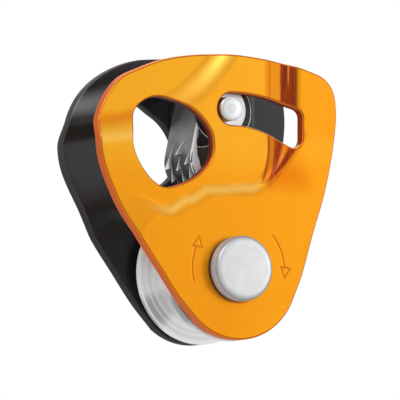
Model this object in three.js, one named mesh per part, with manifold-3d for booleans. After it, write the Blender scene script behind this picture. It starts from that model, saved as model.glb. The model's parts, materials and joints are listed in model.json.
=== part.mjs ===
// Small rope pulley with a sprung toothed cam, two pressed side plates and a sheave on a sealed ball bearing.
// Millimetres, +Z up, the sheave axis along Y. The origin is the centre of the axle head's flat front face.

import * as THREE from 'three';
import { mergeVertices } from 'three/addons/utils/BufferGeometryUtils.js';
import Module from 'manifold-3d';

const wasm = await Module();
wasm.setup();

const degree = Math.PI / 180;

// Clearances
const runGap = 0.1; // between faces that slide on each other
const seatGap = 0.3; // between a piece and the part that stops or carries it
const overrun = 2; // how far a cutting tool runs past what it cuts

// Side plates, measured from the sheave axis
const plateWidth = 57.2; // left corner to right flank
const plateRise = 46.5; // sheave axis up to the top edge
const apexRadius = 14.75; // round end below the sheave
const apexDrop = 0.45; // its centre lies this far below the sheave axis
const plateThick = 2.7;
const plateSpread = 23; // outer face to outer face, at the raised zones
const recessDepth = 1.35; // how far the upper zone is pressed inwards
const eyeSink = 2.1; // extra inward press of the attachment corner
const eyeSoft = 5; // width of the curved bend round that corner
const bendRadius = 40; // of that bend
const bendX = -35.3; // its centre
const bendZ = 69.1;
const foldLine = 13.35; // upright fold between the upper zone and the right flank
const foldSoft = 3.8; // width of the fold
const foldBend = 34; // height above which the fold is upright
const foldDrop = 6.8; // how far the fold has swept left at the sheave zone
const waveLow = 18.5; // height where the fold meets the sheave zone
const waveSoft = 3.2; // width of the soft step above the sheave
const waveFade = 9; // the step grows this much wider towards the left flank
const fadeFrom = -23; // middle of that change
const fadeOver = 8;
const rearFlankTrim = 1.4; // the rear plate's right flank is cut back by this
const rearHeelTrim = 0.5; // and its lower left flank by this
const rearCrown = 1.3; // and its upper left corner stands this much higher
const rearEyeGrow = 1.3; // and its attachment hole reaches this much further at the lower right

// Attachment holes for a connector
const eyeWidth = 19.7;
const eyeHeight = 19.3;
const eyeX = -15.05;
const eyeZ = 26.85;

// Sheave and its axle
const grooveRadius = 9.25;
const grooveArc = 5.6; // section radius of the rope groove
const rimRadius = 15.25;
const rimRound = 0.25;
const sheaveWidth = 13.4;
const frontFlangeExtra = 0.7; // the front flange is this much thicker and fills the space there
const rimWall = 0.75; // flange thickness at the rim
const dishDepth = 1.7; // recess in each side of the sheave
const dishRim = 2.6; // flange land outside that recess
const axleRadius = 3.5;
const headRadius = 7;
const headHeight = 3.1; // the head stands this far off the front plate
const headFace = 5.6; // radius of the head's flat face
const headShoulder = 1; // height of the rounded shoulder
const tailRadius = 5.6; // formed head behind the rear plate
const tailHeight = 1.8;
const tenonRadius = 2.9; // axle end inside the rear plate
const spacerRadius = 4.9;

// Ball bearing
const bearingRadius = 7;
const bearingWidth = 5;
const ballRadius = 1.1;
const ballCount = 8;
const raceWall = 0.45; // inner race thickness under its raceway
const landShare = 0.72; // a race's land stands this share of the ball radius from the ball circle
const cageWall = 0.5;
const cageRim = 0.6; // cage left beside each pocket
const trackGap = 0.08; // ball to raceway
const pocketGap = 0.2; // ball to cage
const sealThick = 0.35;
const shoulderBite = 0.9; // sheave shoulder behind the outer race

// Cam and its axle
const pivotX = -1.3;
const pivotZ = 34.55;
const tipRadius = 2.66; // axle tip seen in the slot
const tipProud = 0.85; // the tip stands this far off the recessed face
const tipBevel = 0.35;
const collarRadius = 5.4;
const collarThick = 0.4;
const washerRadius = 6.7;
const washerThick = 0.6;
const camAxleRadius = 2.5;
const camTailRadius = 3.6;
const camTailHeight = 0.9;
const camWidth = 12;
const camLean = 12.4 * degree; // how far the web leans at rest
const cheekRadius = 7;
const cheekShift = 0.6; // cheek centre lies this far right of the pivot
const cheekThick = 1.5;
const webReach = 5.1; // outer skin of the web from the pivot
const webTop = 2.5; // web above the pivot
const webDrop = 10.6; // straight web below the pivot
const webThin = 0.8;
const toeThick = 2.2;
const thickenAt = 10; // the web is halfway to full thickness this far below the pivot
const thickenOver = 7;
const toeBend = 6.5; // outer radius of the toothed bend
const toeReach = 2.4; // flat toe past the bend

// Cam teeth
const toothPitch = 3; // along the sheet
const toothLength = 2.9;
const toothWidth = 3.4;
const toothHeight = 1.1;
const toothOverhang = 0.4; // the point hangs past its root
const toothRoot = 0.4; // depth of the root inside the sheet
const toothSkew = 0.7; // the ridge starts this much nearer the front plate than its point
const fieldShift = 0.8; // the teeth sit this much nearer the front plate
const columnPitch = 4;
const toothRows = 4;
const firstTooth = 9.9; // first root of the outer columns, along the skin
const middleLead = 2.1; // the middle column starts this much higher, with one more tooth
const spurLead = 1.9; // the rear column has one long tooth above the others
const spurLength = 5.2;
const spurHeight = 1.7;

// Slot for the axle tip, its upper edge concentric with the sheave
const slotWidth = 6.9;
const slotCorner = 2;
const slotEnd = 15.9; // its upright far end, right of the sheave axis
const slotLowRadius = 22; // the lower edge falls away on this radius
const tipSideGap = 0.2; // axle tip to the slot's round end

// Cam stop and torsion spring
const stopAngle = 48 * degree; // stop pin round the cam pivot, from +X
const stopRadius = 1.5;
const stopClear = 0.5; // stop pin to the swinging cheeks
const stopReach = cheekRadius + cheekShift + stopClear + stopRadius; // stop pin from the cam pivot
const stopTenon = 1.2;
const stopLength = 5;
const tabSweep = 16 * degree; // taken by the cam's stop tab
const tabReach = 1; // tab past the pin's centre
const tabRoot = 5.6; // the tab starts outside the spring's leg
const tabThick = 1.5;
const tabBite = 0.2; // overlap of the tab with the cheek that carries it
const springRadius = 3.4; // to the middle of the wire
const springWire = 0.8;
const springTurnCount = 4; // whole turns
const camLegLength = 7;
const pinLegExtra = 1.6; // stop leg past the pin
const wireSides = 5;
const stepsPerTurn = 8;

const midPlane = headHeight + plateSpread / 2;
const rearFace = headHeight + plateSpread;
const slotRadius = Math.hypot(pivotX, pivotZ);
const frontUpper = headHeight + recessDepth + plateThick; // inner faces of the recessed zones
const rearUpper = rearFace - recessDepth - plateThick;
const camFront = midPlane - camWidth / 2;
const camRear = midPlane + camWidth / 2;

const anodisedOrange = new THREE.MeshStandardMaterial({ color: 0xf29a1c, roughness: 0.25, metalness: 0.85 });
const anodisedBlack = new THREE.MeshStandardMaterial({ color: 0x1c1c1e, roughness: 0.35, metalness: 0.6 });
const turnedAluminium = new THREE.MeshStandardMaterial({ color: 0xd2d4d6, roughness: 0.28, metalness: 0.95 });
const satinSteel = new THREE.MeshStandardMaterial({ color: 0xc8c9cb, roughness: 0.32, metalness: 0.95 });
const castSteel = new THREE.MeshStandardMaterial({ color: 0x8d8f92, roughness: 0.42, metalness: 0.9 });
const bearingSteel = new THREE.MeshStandardMaterial({ color: 0xb4b6ba, roughness: 0.18, metalness: 1 });
const springSteel = new THREE.MeshStandardMaterial({ color: 0x9a9ca0, roughness: 0.3, metalness: 0.95 });
const blackNylon = new THREE.MeshStandardMaterial({ color: 0x141416, roughness: 0.55, metalness: 0 });
const sealRubber = new THREE.MeshStandardMaterial({ color: 0x232326, roughness: 0.7, metalness: 0 });

// A closed geometry becomes a solid with its faces pointing out
function solidOf(geometry) {
  geometry.deleteAttribute('normal');
  geometry.deleteAttribute('uv');
  const merged = mergeVertices(geometry);
  const corners = merged.index.array;
  const points = merged.attributes.position.array;
  const kept = [];
  for (let i = 0; i < corners.length; i += 3) {
    const [a, b, c] = corners.slice(i, i + 3);
    if (a !== b && b !== c && a !== c) kept.push(a, b, c);
  }
  if (signedVolume(points, kept) < 0) kept.reverse();
  return new wasm.Manifold(new wasm.Mesh({
    numProp: 3,
    vertProperties: points,
    triVerts: new Uint32Array(kept),
  }));
}

function signedVolume(points, corners) {
  const at = (i) => new THREE.Vector3().fromArray(points, corners[i] * 3);
  let six = 0;
  for (let i = 0; i < corners.length; i += 3) six += at(i).dot(at(i + 1).cross(at(i + 2)));
  return six;
}

function geometryOf(solid) {
  const mesh = solid.getMesh();
  const geometry = new THREE.BufferGeometry();
  geometry.setAttribute('position', new THREE.BufferAttribute(mesh.vertProperties, 3));
  geometry.setIndex(new THREE.BufferAttribute(mesh.triVerts, 1));
  geometry.computeVertexNormals();
  return geometry;
}

const assembly = new THREE.Group();

function addPart(name, solid, material, x = 0, z = 0) {
  const mesh = new THREE.Mesh(geometryOf(solid), material);
  mesh.name = name;
  mesh.position.set(x, 0, z);
  assembly.add(mesh);
}

// A body turned about the Y axis, from a closed profile of [radius, y]
function turned(profile, segments) {
  const points = [...profile, profile[0]].map(([radius, y]) => new THREE.Vector2(radius, y));
  return solidOf(new THREE.LatheGeometry(points, segments));
}

const ring = (inner, outer, from, to, segments) =>
  turned([[inner, from], [outer, from], [outer, to], [inner, to]], segments);

// A flat outline in X and Z, given depth along Y
function slab(outline, from, to, holes = []) {
  const shape = new THREE.Shape(outline);
  shape.holes = holes.map((hole) => new THREE.Path(hole));
  const geometry = new THREE.ExtrudeGeometry(shape, { depth: to - from, bevelEnabled: false });
  geometry.rotateX(Math.PI / 2);
  geometry.translate(0, to, 0);
  return solidOf(geometry);
}

const polar = (radius, angle, x = 0, z = 0) =>
  new THREE.Vector2(x + radius * Math.cos(angle), z + radius * Math.sin(angle));

// Points along an arc, both ends included
function arc(radius, from, to, steps, x = 0, z = 0) {
  const points = [];
  for (let i = 0; i <= steps; i++) points.push(polar(radius, from + ((to - from) * i) / steps, x, z));
  return points;
}

const circle = (radius, x = 0, z = 0, steps = 28) => arc(radius, 0, 2 * Math.PI, steps, x, z).slice(1);

// A smooth line through hand-placed points
function smoothLine(points, perPoint, closed) {
  const lifted = points.map((p) => new THREE.Vector3(p.x, p.y, 0));
  const curve = new THREE.CatmullRomCurve3(lifted, closed, 'centripetal');
  const flat = curve.getPoints(points.length * perPoint).map((p) => new THREE.Vector2(p.x, p.y));
  return closed ? flat.slice(1) : flat;
}

// Outline of a side plate: up the right flank, over the top and down the left flank to the round apex
const flankShares = [
  [0.277, -0.016], [0.325, 0.178], [0.375, 0.366], [0.414, 0.59], [0.426, 0.752], [0.412, 0.85],
  [0.373, 0.905], [0.313, 0.934], [0.196, 0.97], [0.08, 0.99], [-0.06, 0.998], [-0.18, 0.986],
  [-0.286, 0.961], [-0.386, 0.915], [-0.462, 0.87], [-0.517, 0.795], [-0.556, 0.695], [-0.571, 0.582],
  [-0.557, 0.467], [-0.489, 0.279], [-0.416, 0.132], [-0.338, 0], [-0.2545, -0.14],
];
const trimShare = 0.25; // the rear plate's flank trim applies right of this share of the width
const heelShare = 0.3; // its heel trim below this share of the rise
const crownShare = 0.94; // its crown is full at this share of the rise
const crownSpreadShare = 0.065; // and fades over this share
const apexStart = 222 * degree;
const rearApexStart = 232 * degree;
const apexEnd = 338 * degree;

function plateOutline(rear) {
  const flanks = flankShares.map(([x, z]) => {
    const spot = new THREE.Vector2(plateWidth * x, plateRise * z);
    if (rear && x > trimShare) spot.x -= rearFlankTrim;
    if (rear && x < 0 && z < heelShare) spot.x += rearHeelTrim;
    if (rear && x < 0) spot.y += rearCrown * Math.max(0, 1 - Math.abs(z - crownShare) / crownSpreadShare);
    return spot;
  });
  const apex = arc(apexRadius, rear ? rearApexStart : apexStart, apexEnd, 16, 0, -apexDrop);
  const line = smoothLine([apex[apex.length - 1], ...flanks, apex[0]], 3, false);
  return [...apex, ...line.slice(1, -1)];
}

// Attachment hole, a blunt drop
const eyeShares = [
  [-0.468, 0.163], [-0.4, 0.365], [-0.25, 0.478], [-0.1, 0.502], [0.08, 0.458], [0.343, 0.3],
  [0.485, 0.091], [0.475, -0.155], [0.29, -0.368], [0.01, -0.49], [-0.109, -0.503], [-0.246, -0.437],
  [-0.424, -0.21], [-0.485, -0.023],
];
const growHeading = -37 * degree;
const rearEyePinchShare = 0.2; // the left half of the rear plate's hole is narrower by this share

function eyeOutline(grow, pinchShare) {
  const points = eyeShares.map(([x, z]) => {
    const spot = polar(grow * ramp((x - z - 0.5) / 0.3), growHeading, eyeX, eyeZ);
    return spot.add(new THREE.Vector2(eyeWidth * x * (x < 0 ? 1 - pinchShare : 1), eyeHeight * z));
  });
  return smoothLine(points, 3, true);
}

// Slot outline: round at the axle tip, upright with round corners at the far end
function slotOutline() {
  const outer = slotRadius + slotWidth / 2;
  const inner = slotRadius - slotWidth / 2;
  const lowZ = inner - slotLowRadius;
  const roundStart = Math.atan2(pivotZ, pivotX) - (slotWidth / 2 - tipRadius - tipSideGap) / slotRadius;
  const roundEnd = polar(slotRadius, roundStart);
  const lowStart = polar(inner, roundStart);
  const outerCorner = Math.acos((slotEnd - slotCorner) / (outer - slotCorner));
  const lowCorner = Math.acos((slotEnd - slotCorner) / (slotLowRadius + slotCorner));
  const cornerA = polar(outer - slotCorner, outerCorner);
  const cornerB = polar(slotLowRadius + slotCorner, lowCorner, 0, lowZ);
  return [
    ...arc(outer, outerCorner, roundStart, 8),
    ...arc(slotWidth / 2, roundStart, roundStart + Math.PI, 10, roundEnd.x, roundEnd.y).slice(1, -1),
    ...arc(slotLowRadius, Math.atan2(lowStart.y - lowZ, lowStart.x), lowCorner, 8, 0, lowZ),
    ...arc(slotCorner, lowCorner - Math.PI, 0, 5, cornerB.x, cornerB.y).slice(1),
    ...arc(slotCorner, 0, outerCorner, 4, cornerA.x, cornerA.y).slice(0, -1),
  ];
}

// Pressed relief: 0 on the raised zones, growing inwards on the upper zone
const ramp = (u) => {
  const t = Math.min(1, Math.max(0, u + 0.5));
  return t * t * (3 - 2 * t);
};

const waveShares = [
  [-0.6, 0.12], [-0.47, 0.19], [-0.37, 0.265], [-0.285, 0.254], [-0.2, 0.305], [-0.114, 0.355], [0.056, 0.37],
  [0.142, 0.405], [0.5, 0.44],
];

function waveHeight(x) {
  const share = x / plateWidth;
  const next = waveShares.findIndex(([s]) => s > share);
  const i = next < 0 ? waveShares.length - 2 : Math.max(0, next - 1);
  const [[s0, z0], [s1, z1]] = [waveShares[i], waveShares[i + 1]];
  return plateRise * (z0 + (z1 - z0) * ramp((share - s0) / (s1 - s0) - 0.5));
}

function foldAt(z) {
  const below = Math.max(0, (foldBend - z) / (foldBend - waveLow));
  return foldLine - foldDrop * Math.min(1, below * below);
}

const softAt = (x) => waveSoft + waveFade * ramp((fadeFrom - x) / fadeOver);

function reliefAt(x, z) {
  const pressed = ramp((z - waveHeight(x)) / softAt(x)) * ramp((foldAt(z) - x) / foldSoft);
  const corner = ramp((bendRadius - Math.hypot(x - bendX, z - bendZ)) / eyeSoft);
  return pressed * (recessDepth + eyeSink * corner);
}

// The net of the pressed sheet follows the fold and the step, so few lines are enough
const leftColumns = 18;
const foldColumns = 5;
const stepRows = 5;
const topRows = 11;
const netColumns = leftColumns + foldColumns + 2;
const netRows = stepRows + topRows + 2;

function columnX(i, z) {
  const left = -plateWidth * 0.6;
  const fold = foldAt(z);
  if (i > leftColumns + foldColumns) return plateWidth / 2;
  if (i >= leftColumns) return fold + foldSoft * ((i - leftColumns) / foldColumns - 0.5);
  return left + ((fold - foldSoft / 2 - left) * i) / leftColumns;
}

function rowZ(j, x) {
  const wave = waveHeight(x);
  if (j === 0) return -apexRadius - apexDrop - overrun;
  if (j <= stepRows + 1) return wave + softAt(x) * ((j - 1) / stepRows - 0.5);
  const start = wave + softAt(x) / 2;
  return start + ((plateRise + overrun - start) * (j - stepRows - 1)) / topRows;
}

function netPoint(i, j) {
  const x = columnX(i, rowZ(j, columnX(i, foldBend)));
  return new THREE.Vector2(x, rowZ(j, x));
}

// The pressed sheet before its outline is cut. side is 1 when the inner face looks to +Y
function pressedSheet(face, side) {
  const points = [];
  for (const depth of [0, plateThick]) {
    for (let j = 0; j < netRows; j++) {
      for (let i = 0; i < netColumns; i++) {
        const p = netPoint(i, j);
        points.push(p.x, face + side * (reliefAt(p.x, p.y) + depth), p.y);
      }
    }
  }
  const back = netColumns * netRows;
  const index = [];
  const quad = (a, b, c, d) => index.push(a, b, c, a, c, d);
  for (let j = 0; j < netRows - 1; j++) {
    for (let i = 0; i < netColumns - 1; i++) {
      const a = j * netColumns + i;
      const above = a + netColumns;
      quad(a, a + 1, above + 1, above);
      quad(back + a, back + above, back + above + 1, back + a + 1);
    }
    const left = j * netColumns;
    const right = left + netColumns - 1;
    quad(left, left + netColumns, back + left + netColumns, back + left);
    quad(right, back + right, back + right + netColumns, right + netColumns);
  }
  for (let i = 0; i < netColumns - 1; i++) {
    const top = back - netColumns + i;
    quad(i, back + i, back + i + 1, i + 1);
    quad(top, top + 1, back + top + 1, back + top);
  }
  const geometry = new THREE.BufferGeometry();
  geometry.setAttribute('position', new THREE.Float32BufferAttribute(points, 3));
  geometry.setIndex(index);
  return solidOf(geometry);
}

function sidePlate(face, side, outline, holes) {
  const reach = recessDepth + plateThick + eyeSink + overrun;
  const blank = slab(outline, face - reach, face + reach, holes);
  return pressedSheet(face, side).intersect(blank);
}

const stopPinSpot = polar(stopReach, stopAngle, pivotX, pivotZ);

function sidePlates() {
  const axleHole = circle(axleRadius + runGap);
  const front = sidePlate(headHeight, 1, plateOutline(false), [eyeOutline(0, 0), slotOutline(), axleHole]);
  addPart('front_side_plate', front, anodisedOrange);
  const rear = sidePlate(rearFace, -1, plateOutline(true), [
    eyeOutline(rearEyeGrow, rearEyePinchShare),
    circle(tenonRadius + runGap),
    circle(camAxleRadius + runGap, pivotX, pivotZ),
    circle(stopTenon + runGap, stopPinSpot.x, stopPinSpot.y, 16),
  ]);
  addPart('rear_side_plate', rear, anodisedBlack);
}

// Sheave: rope groove, thin flanges, dished sides and a bore with one shoulder for the bearing
function sheave() {
  const half = sheaveWidth / 2;
  const flareEnd = 62 * degree;
  const groove = arc(grooveArc, Math.PI + flareEnd, Math.PI - flareEnd, 8, grooveRadius + grooveArc, 0)
    .map((p) => [p.x, p.y]);
  const bore = bearingRadius + runGap;
  const hub = half - dishDepth;
  const seat = bearingWidth / 2 + runGap;
  const dishOuter = rimRadius - dishRim;
  const side = (sign, extra) => [
    [rimRadius - rimRound, sign * (half - rimWall)],
    [rimRadius, sign * (half - rimWall + rimRound)],
    [rimRadius, sign * (half + extra - rimRound)],
    [rimRadius - rimRound, sign * (half + extra)],
    [dishOuter, sign * (half + extra)],
    [dishOuter - dishDepth, sign * hub],
  ];
  const profile = [
    ...groove,
    ...side(1, 0),
    [bore - shoulderBite, hub],
    [bore - shoulderBite, seat],
    [bore, seat],
    [bore, -hub],
    ...side(-1, frontFlangeExtra).reverse(),
  ].map(([radius, y]) => [radius, midPlane + y]);
  addPart('sheave', turned(profile, 40), turnedAluminium);
}

// Sealed ball bearing in the sheave
const innerBore = axleRadius + runGap / 2;
const track = ballRadius + trackGap; // section radius of both raceways
const ballCircle = innerBore + raceWall + track;
const landDrop = ballRadius * landShare;

function bearingRace(name, back, side) {
  const half = bearingWidth / 2;
  const land = ballCircle + side * landDrop;
  const tilt = Math.acos(landDrop / track);
  const middle = side > 0 ? 0 : Math.PI;
  const profile = [
    [land, -side * half],
    ...arc(track, middle - tilt, middle + tilt, 4, ballCircle, 0).map((p) => [p.x, p.y]),
    [land, side * half],
    [back, side * half],
    [back, -side * half],
  ].map(([radius, y]) => [radius, midPlane + y]);
  addPart(name, turned(profile, 32), bearingSteel);
}

function bearing() {
  bearingRace('bearing_outer_race', bearingRadius, 1);
  bearingRace('bearing_inner_race', innerBore, -1);
  const cageHalf = ballRadius + cageRim;
  const cageInner = ballCircle - cageWall / 2;
  let cage = ring(cageInner, cageInner + cageWall, midPlane - cageHalf, midPlane + cageHalf, 24);
  for (let i = 0; i < ballCount; i++) {
    const spot = polar(ballCircle, (2 * Math.PI * i) / ballCount);
    const pocket = new THREE.SphereGeometry(ballRadius + pocketGap, 8, 6);
    pocket.translate(spot.x, midPlane, spot.y);
    cage = cage.subtract(solidOf(pocket));
    const ball = new THREE.SphereGeometry(ballRadius, 8, 6);
    ball.translate(0, midPlane, 0);
    addPart(`bearing_ball_${i + 1}`, solidOf(ball), bearingSteel, spot.x, spot.y);
  }
  addPart('bearing_ball_cage', cage, blackNylon);
  const sealOuter = ballCircle + landDrop - runGap;
  const sealInner = ballCircle - landDrop + runGap;
  const sealFront = midPlane - bearingWidth / 2 + runGap;
  const sealRear = midPlane + bearingWidth / 2 - runGap;
  addPart('bearing_front_seal', ring(sealInner, sealOuter, sealFront, sealFront + sealThick, 28), sealRubber);
  addPart('bearing_rear_seal', ring(sealInner, sealOuter, sealRear - sealThick, sealRear, 28), sealRubber);
}

// Sheave axle: front head, shaft, and a tenon formed over behind the rear plate
function sheaveAxle() {
  const shoulderY = rearFace - plateThick - runGap;
  const tailStart = rearFace + runGap;
  const shoulder = arc(1, Math.PI / 2, 0, 4)
    .map((p) => [headFace + (headRadius - headFace) * p.x, headShoulder * (1 - p.y)]);
  const tail = arc(tailHeight, 0, Math.PI / 2, 3)
    .map((p) => [tailRadius - tailHeight + p.x, tailStart + p.y]);
  const profile = [
    [0, 0],
    ...shoulder,
    [headRadius, headHeight - runGap],
    [axleRadius, headHeight - runGap],
    [axleRadius, shoulderY],
    [tenonRadius, shoulderY],
    [tenonRadius, tailStart],
    ...tail,
    [0, tailStart + tailHeight],
  ];
  addPart('sheave_axle', turned(profile, 32), satinSteel);
}

// Tubular spacers hold the inner race between the plates
function spacers() {
  const bore = axleRadius + runGap;
  const raceGap = bearingWidth / 2 + runGap;
  const front = ring(bore, spacerRadius, headHeight + plateThick + runGap, midPlane - raceGap, 28);
  addPart('front_spacer', front, satinSteel);
  const rear = ring(bore, spacerRadius, midPlane + raceGap, rearFace - plateThick - runGap, 28);
  addPart('rear_spacer', rear, satinSteel);
}

// Cam axle: tip in the slot, collar, shaft and formed tail, with a washer on each side of the cam
function camAxle() {
  const tip = headHeight + recessDepth - tipProud;
  const collar = frontUpper + runGap;
  const tailStart = rearUpper + plateThick + runGap;
  const profile = [
    [0, tip],
    [tipRadius - tipBevel, tip],
    [tipRadius, tip + tipBevel],
    [tipRadius, collar],
    [collarRadius, collar],
    [collarRadius, collar + collarThick],
    [camAxleRadius, collar + collarThick],
    [camAxleRadius, tailStart],
    [camTailRadius, tailStart],
    [camTailRadius - camTailHeight / 2, tailStart + camTailHeight],
    [0, tailStart + camTailHeight],
  ];
  addPart('cam_axle', turned(profile, 28), satinSteel, pivotX, pivotZ);
}

function camWashers() {
  const bore = camAxleRadius + runGap;
  const front = ring(bore, washerRadius, camFront - runGap - washerThick, camFront - runGap, 28);
  addPart('cam_front_washer', front, blackNylon, pivotX, pivotZ);
  const rear = ring(bore, collarRadius, camRear + runGap, rearUpper - runGap, 28);
  addPart('cam_rear_washer', rear, blackNylon, pivotX, pivotZ);
}

// A point on the cam's outer skin with the web upright: s runs down from the pivot's height, lift stands off
const toeTurn = Math.PI / 2 + camLean;

function camSkin(s, lift) {
  const turn = Math.min(toeTurn, Math.max(0, (s - webDrop) / toeBend));
  const spot = polar(toeBend + lift, Math.PI + turn, toeBend - webReach, -webDrop);
  const straight = s < webDrop ? s - webDrop : Math.max(0, s - webDrop - toeBend * toeTurn);
  return new THREE.Vector2(spot.x + straight * Math.sin(turn), spot.y - straight * Math.cos(turn));
}

const webThickness = (s) => webThin + (toeThick - webThin) * ramp((s - thickenAt) / thickenOver);

function camTooth(s, column, length, height) {
  const y = midPlane - fieldShift + (column - 1) * columnPitch;
  const at = (along, lift, across) => {
    const p = camSkin(s + along, lift);
    return [p.x, y + across, p.y];
  };
  const half = toothWidth / 2;
  const corners = [
    at(0, -toothRoot, -half / 2 - toothSkew), at(0, -toothRoot, half / 2 - toothSkew),
    at(length, -toothRoot, half), at(length, -toothRoot, -half),
    at(length + toothOverhang, height, 0), at(0, 0, -toothSkew),
  ];
  const faces = [0, 1, 2, 0, 2, 3, 3, 2, 4, 0, 3, 4, 0, 4, 5, 1, 5, 4, 1, 4, 2, 0, 5, 1];
  const geometry = new THREE.BufferGeometry();
  geometry.setAttribute('position', new THREE.Float32BufferAttribute(corners.flat(), 3));
  geometry.setIndex(faces);
  return solidOf(geometry);
}

// Cam: two cheeks on the axle, a web that thickens into the toothed toe, and a stop tab on the rear cheek
function cam() {
  const toeLength = toeBend * toeTurn;
  const stations = [-webTop, webDrop / 2, webDrop * 0.75];
  for (let i = 0; i <= 8; i++) stations.push(webDrop + (toeLength * i) / 8);
  stations.push(webDrop + toeLength + toeReach);
  const outer = stations.map((s) => camSkin(s, 0));
  const inner = stations.map((s) => camSkin(s, -webThickness(s))).reverse();
  const edge = Math.PI - Math.acos((webReach + cheekShift) / cheekRadius);
  const cheek = arc(cheekRadius, -edge, edge, 28, cheekShift, 0);
  const tabStart = stopAngle + camLean + Math.asin((stopRadius + seatGap) / stopReach);
  const tab = [
    ...arc(tabRoot, tabStart + tabSweep, tabStart, 3),
    ...arc(stopReach + tabReach, tabStart, tabStart + tabSweep, 3),
  ];
  const tabRear = camRear - cheekThick + tabBite;
  let body = slab([...outer, ...inner], camFront, camRear)
    .add(slab(cheek, camFront, camFront + cheekThick))
    .add(slab(cheek, camRear - cheekThick, camRear))
    .add(slab(tab, tabRear - tabThick - tabBite, tabRear));
  for (let column = 0; column < 3; column++) {
    const middle = column === 1;
    const start = firstTooth - (middle ? middleLead : 0);
    for (let row = 0; row < toothRows + (middle ? 1 : 0); row++) {
      body = body.add(camTooth(start + row * toothPitch, column, toothLength, toothHeight));
    }
  }
  body = body.add(camTooth(firstTooth - spurLead, 2, spurLength, spurHeight))
    .subtract(slab(circle(camAxleRadius + runGap), camFront - overrun, camRear + overrun))
    .rotate([0, camLean / degree, 0]);
  addPart('cam', body, castSteel, pivotX, pivotZ);
}

// Stop pin, riveted in the rear plate; it stops the cam's tab and anchors the spring
function camStopPin() {
  const seat = rearUpper - runGap;
  const profile = [
    [0, seat - stopLength],
    [stopRadius, seat - stopLength],
    [stopRadius, seat],
    [stopTenon, seat],
    [stopTenon, rearUpper + plateThick],
    [0, rearUpper + plateThick],
  ];
  addPart('cam_stop_pin', turned(profile, 20), satinSteel, stopPinSpot.x, stopPinSpot.y);
}

// Torsion spring round the cam axle: one leg under the stop pin, one along the inside of the cam's web
class SpringPath extends THREE.Curve {
  constructor() {
    super();
    const pinOffset = springRadius + stopRadius + springWire / 2 + seatGap;
    const inside = cheekThick + seatGap + springWire / 2;
    this.pinHeading = stopAngle - Math.asin(pinOffset / stopReach);
    this.coilStart = this.pinHeading + Math.PI / 2;
    this.coilEnd = Math.PI - camLean + 2 * Math.PI * springTurnCount;
    this.rear = camRear - inside;
    this.front = camFront + inside;
    this.pinLeg = Math.sqrt(stopReach ** 2 - pinOffset ** 2) + pinLegExtra;
    this.coil = springRadius * (this.coilEnd - this.coilStart);
    this.length = this.pinLeg + this.coil + camLegLength;
  }

  getPoint(t, target = new THREE.Vector3()) {
    const s = t * this.length;
    const turn = Math.min(1, Math.max(0, (s - this.pinLeg) / this.coil));
    const angle = this.coilStart + turn * (this.coilEnd - this.coilStart);
    const straight = s - this.pinLeg - turn * this.coil;
    const p = polar(springRadius, angle);
    const q = polar(straight, angle + Math.PI / 2, p.x, p.y);
    return target.set(q.x, this.rear + (this.front - this.rear) * turn, q.y);
  }
}

function camSpring() {
  const path = new SpringPath();
  const section = new THREE.Shape(circle(springWire / 2, 0, 0, wireSides));
  const steps = Math.round((path.length / springRadius / (2 * Math.PI)) * stepsPerTurn);
  const geometry = new THREE.ExtrudeGeometry(section, { steps, extrudePath: path, bevelEnabled: false });
  addPart('cam_spring', solidOf(geometry), springSteel, pivotX, pivotZ);
  const points = path.getSpacedPoints(steps * 4);
  const near = Math.ceil((Math.PI * springRadius * points.length) / path.length);
  let least = Infinity;
  points.forEach((p, i) => {
    for (let k = i + near; k < points.length; k++) least = Math.min(least, p.distanceTo(points[k]));
  });
  console.log(`cam_spring: least gap to itself ${(least - springWire).toFixed(2)} mm`);
}

sidePlates();
sheave();
bearing();
sheaveAxle();
spacers();
camAxle();
camWashers();
cam();
camStopPin();
camSpring();

export default assembly;
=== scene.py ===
import json
import math
from types import SimpleNamespace
import bmesh
import bpy
import numpy as np
from mathutils import Matrix, Vector
from mathutils.geometry import delaunay_2d_cdt

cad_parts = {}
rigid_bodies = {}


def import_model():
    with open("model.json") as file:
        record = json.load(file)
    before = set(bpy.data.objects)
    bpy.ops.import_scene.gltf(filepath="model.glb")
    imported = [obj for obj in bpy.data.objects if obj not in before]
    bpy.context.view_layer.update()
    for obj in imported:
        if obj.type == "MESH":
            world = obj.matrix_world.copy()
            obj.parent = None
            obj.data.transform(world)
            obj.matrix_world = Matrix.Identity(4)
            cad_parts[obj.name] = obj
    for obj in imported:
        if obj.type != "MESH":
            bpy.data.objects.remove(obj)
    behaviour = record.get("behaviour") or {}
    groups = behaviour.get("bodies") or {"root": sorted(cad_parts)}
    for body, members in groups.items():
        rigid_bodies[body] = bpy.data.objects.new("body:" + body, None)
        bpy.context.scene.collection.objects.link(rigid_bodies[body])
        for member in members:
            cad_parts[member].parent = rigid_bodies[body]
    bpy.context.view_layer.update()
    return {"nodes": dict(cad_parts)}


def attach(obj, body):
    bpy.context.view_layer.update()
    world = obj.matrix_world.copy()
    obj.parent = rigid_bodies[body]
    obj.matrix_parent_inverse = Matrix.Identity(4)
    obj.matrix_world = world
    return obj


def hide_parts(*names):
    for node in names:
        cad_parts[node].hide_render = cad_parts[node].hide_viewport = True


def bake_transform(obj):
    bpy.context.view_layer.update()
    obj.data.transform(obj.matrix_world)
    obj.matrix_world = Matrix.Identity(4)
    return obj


print('frame: loading the packed pulley')
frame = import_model()

mm = 0.001
degree = math.pi / 180
scene = bpy.context.scene


# Settings with their names as attributes
def read(settings):
    return SimpleNamespace(**settings)


# Where things stand, in mm on the model's axes
places = {
    'headHeight': 3.1,
    'midPlane': 14.6,
    'rearFace': 26.1,
    'pivot': (-1.3, 34.55),
}
pivot = places['pivot']


# Camera: the photograph's view, from a little below the sheave's height
cameraSettings = {
    'yaw': -28.67913,
    'pitch': -4.903,
    'distance': 1400,
    'pixelsPerMm': 4.67,
    'picture': 400,
    'target': (0, 3.1, 0),
    'targetPixel': (238.3736, 268.9846),
}


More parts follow.
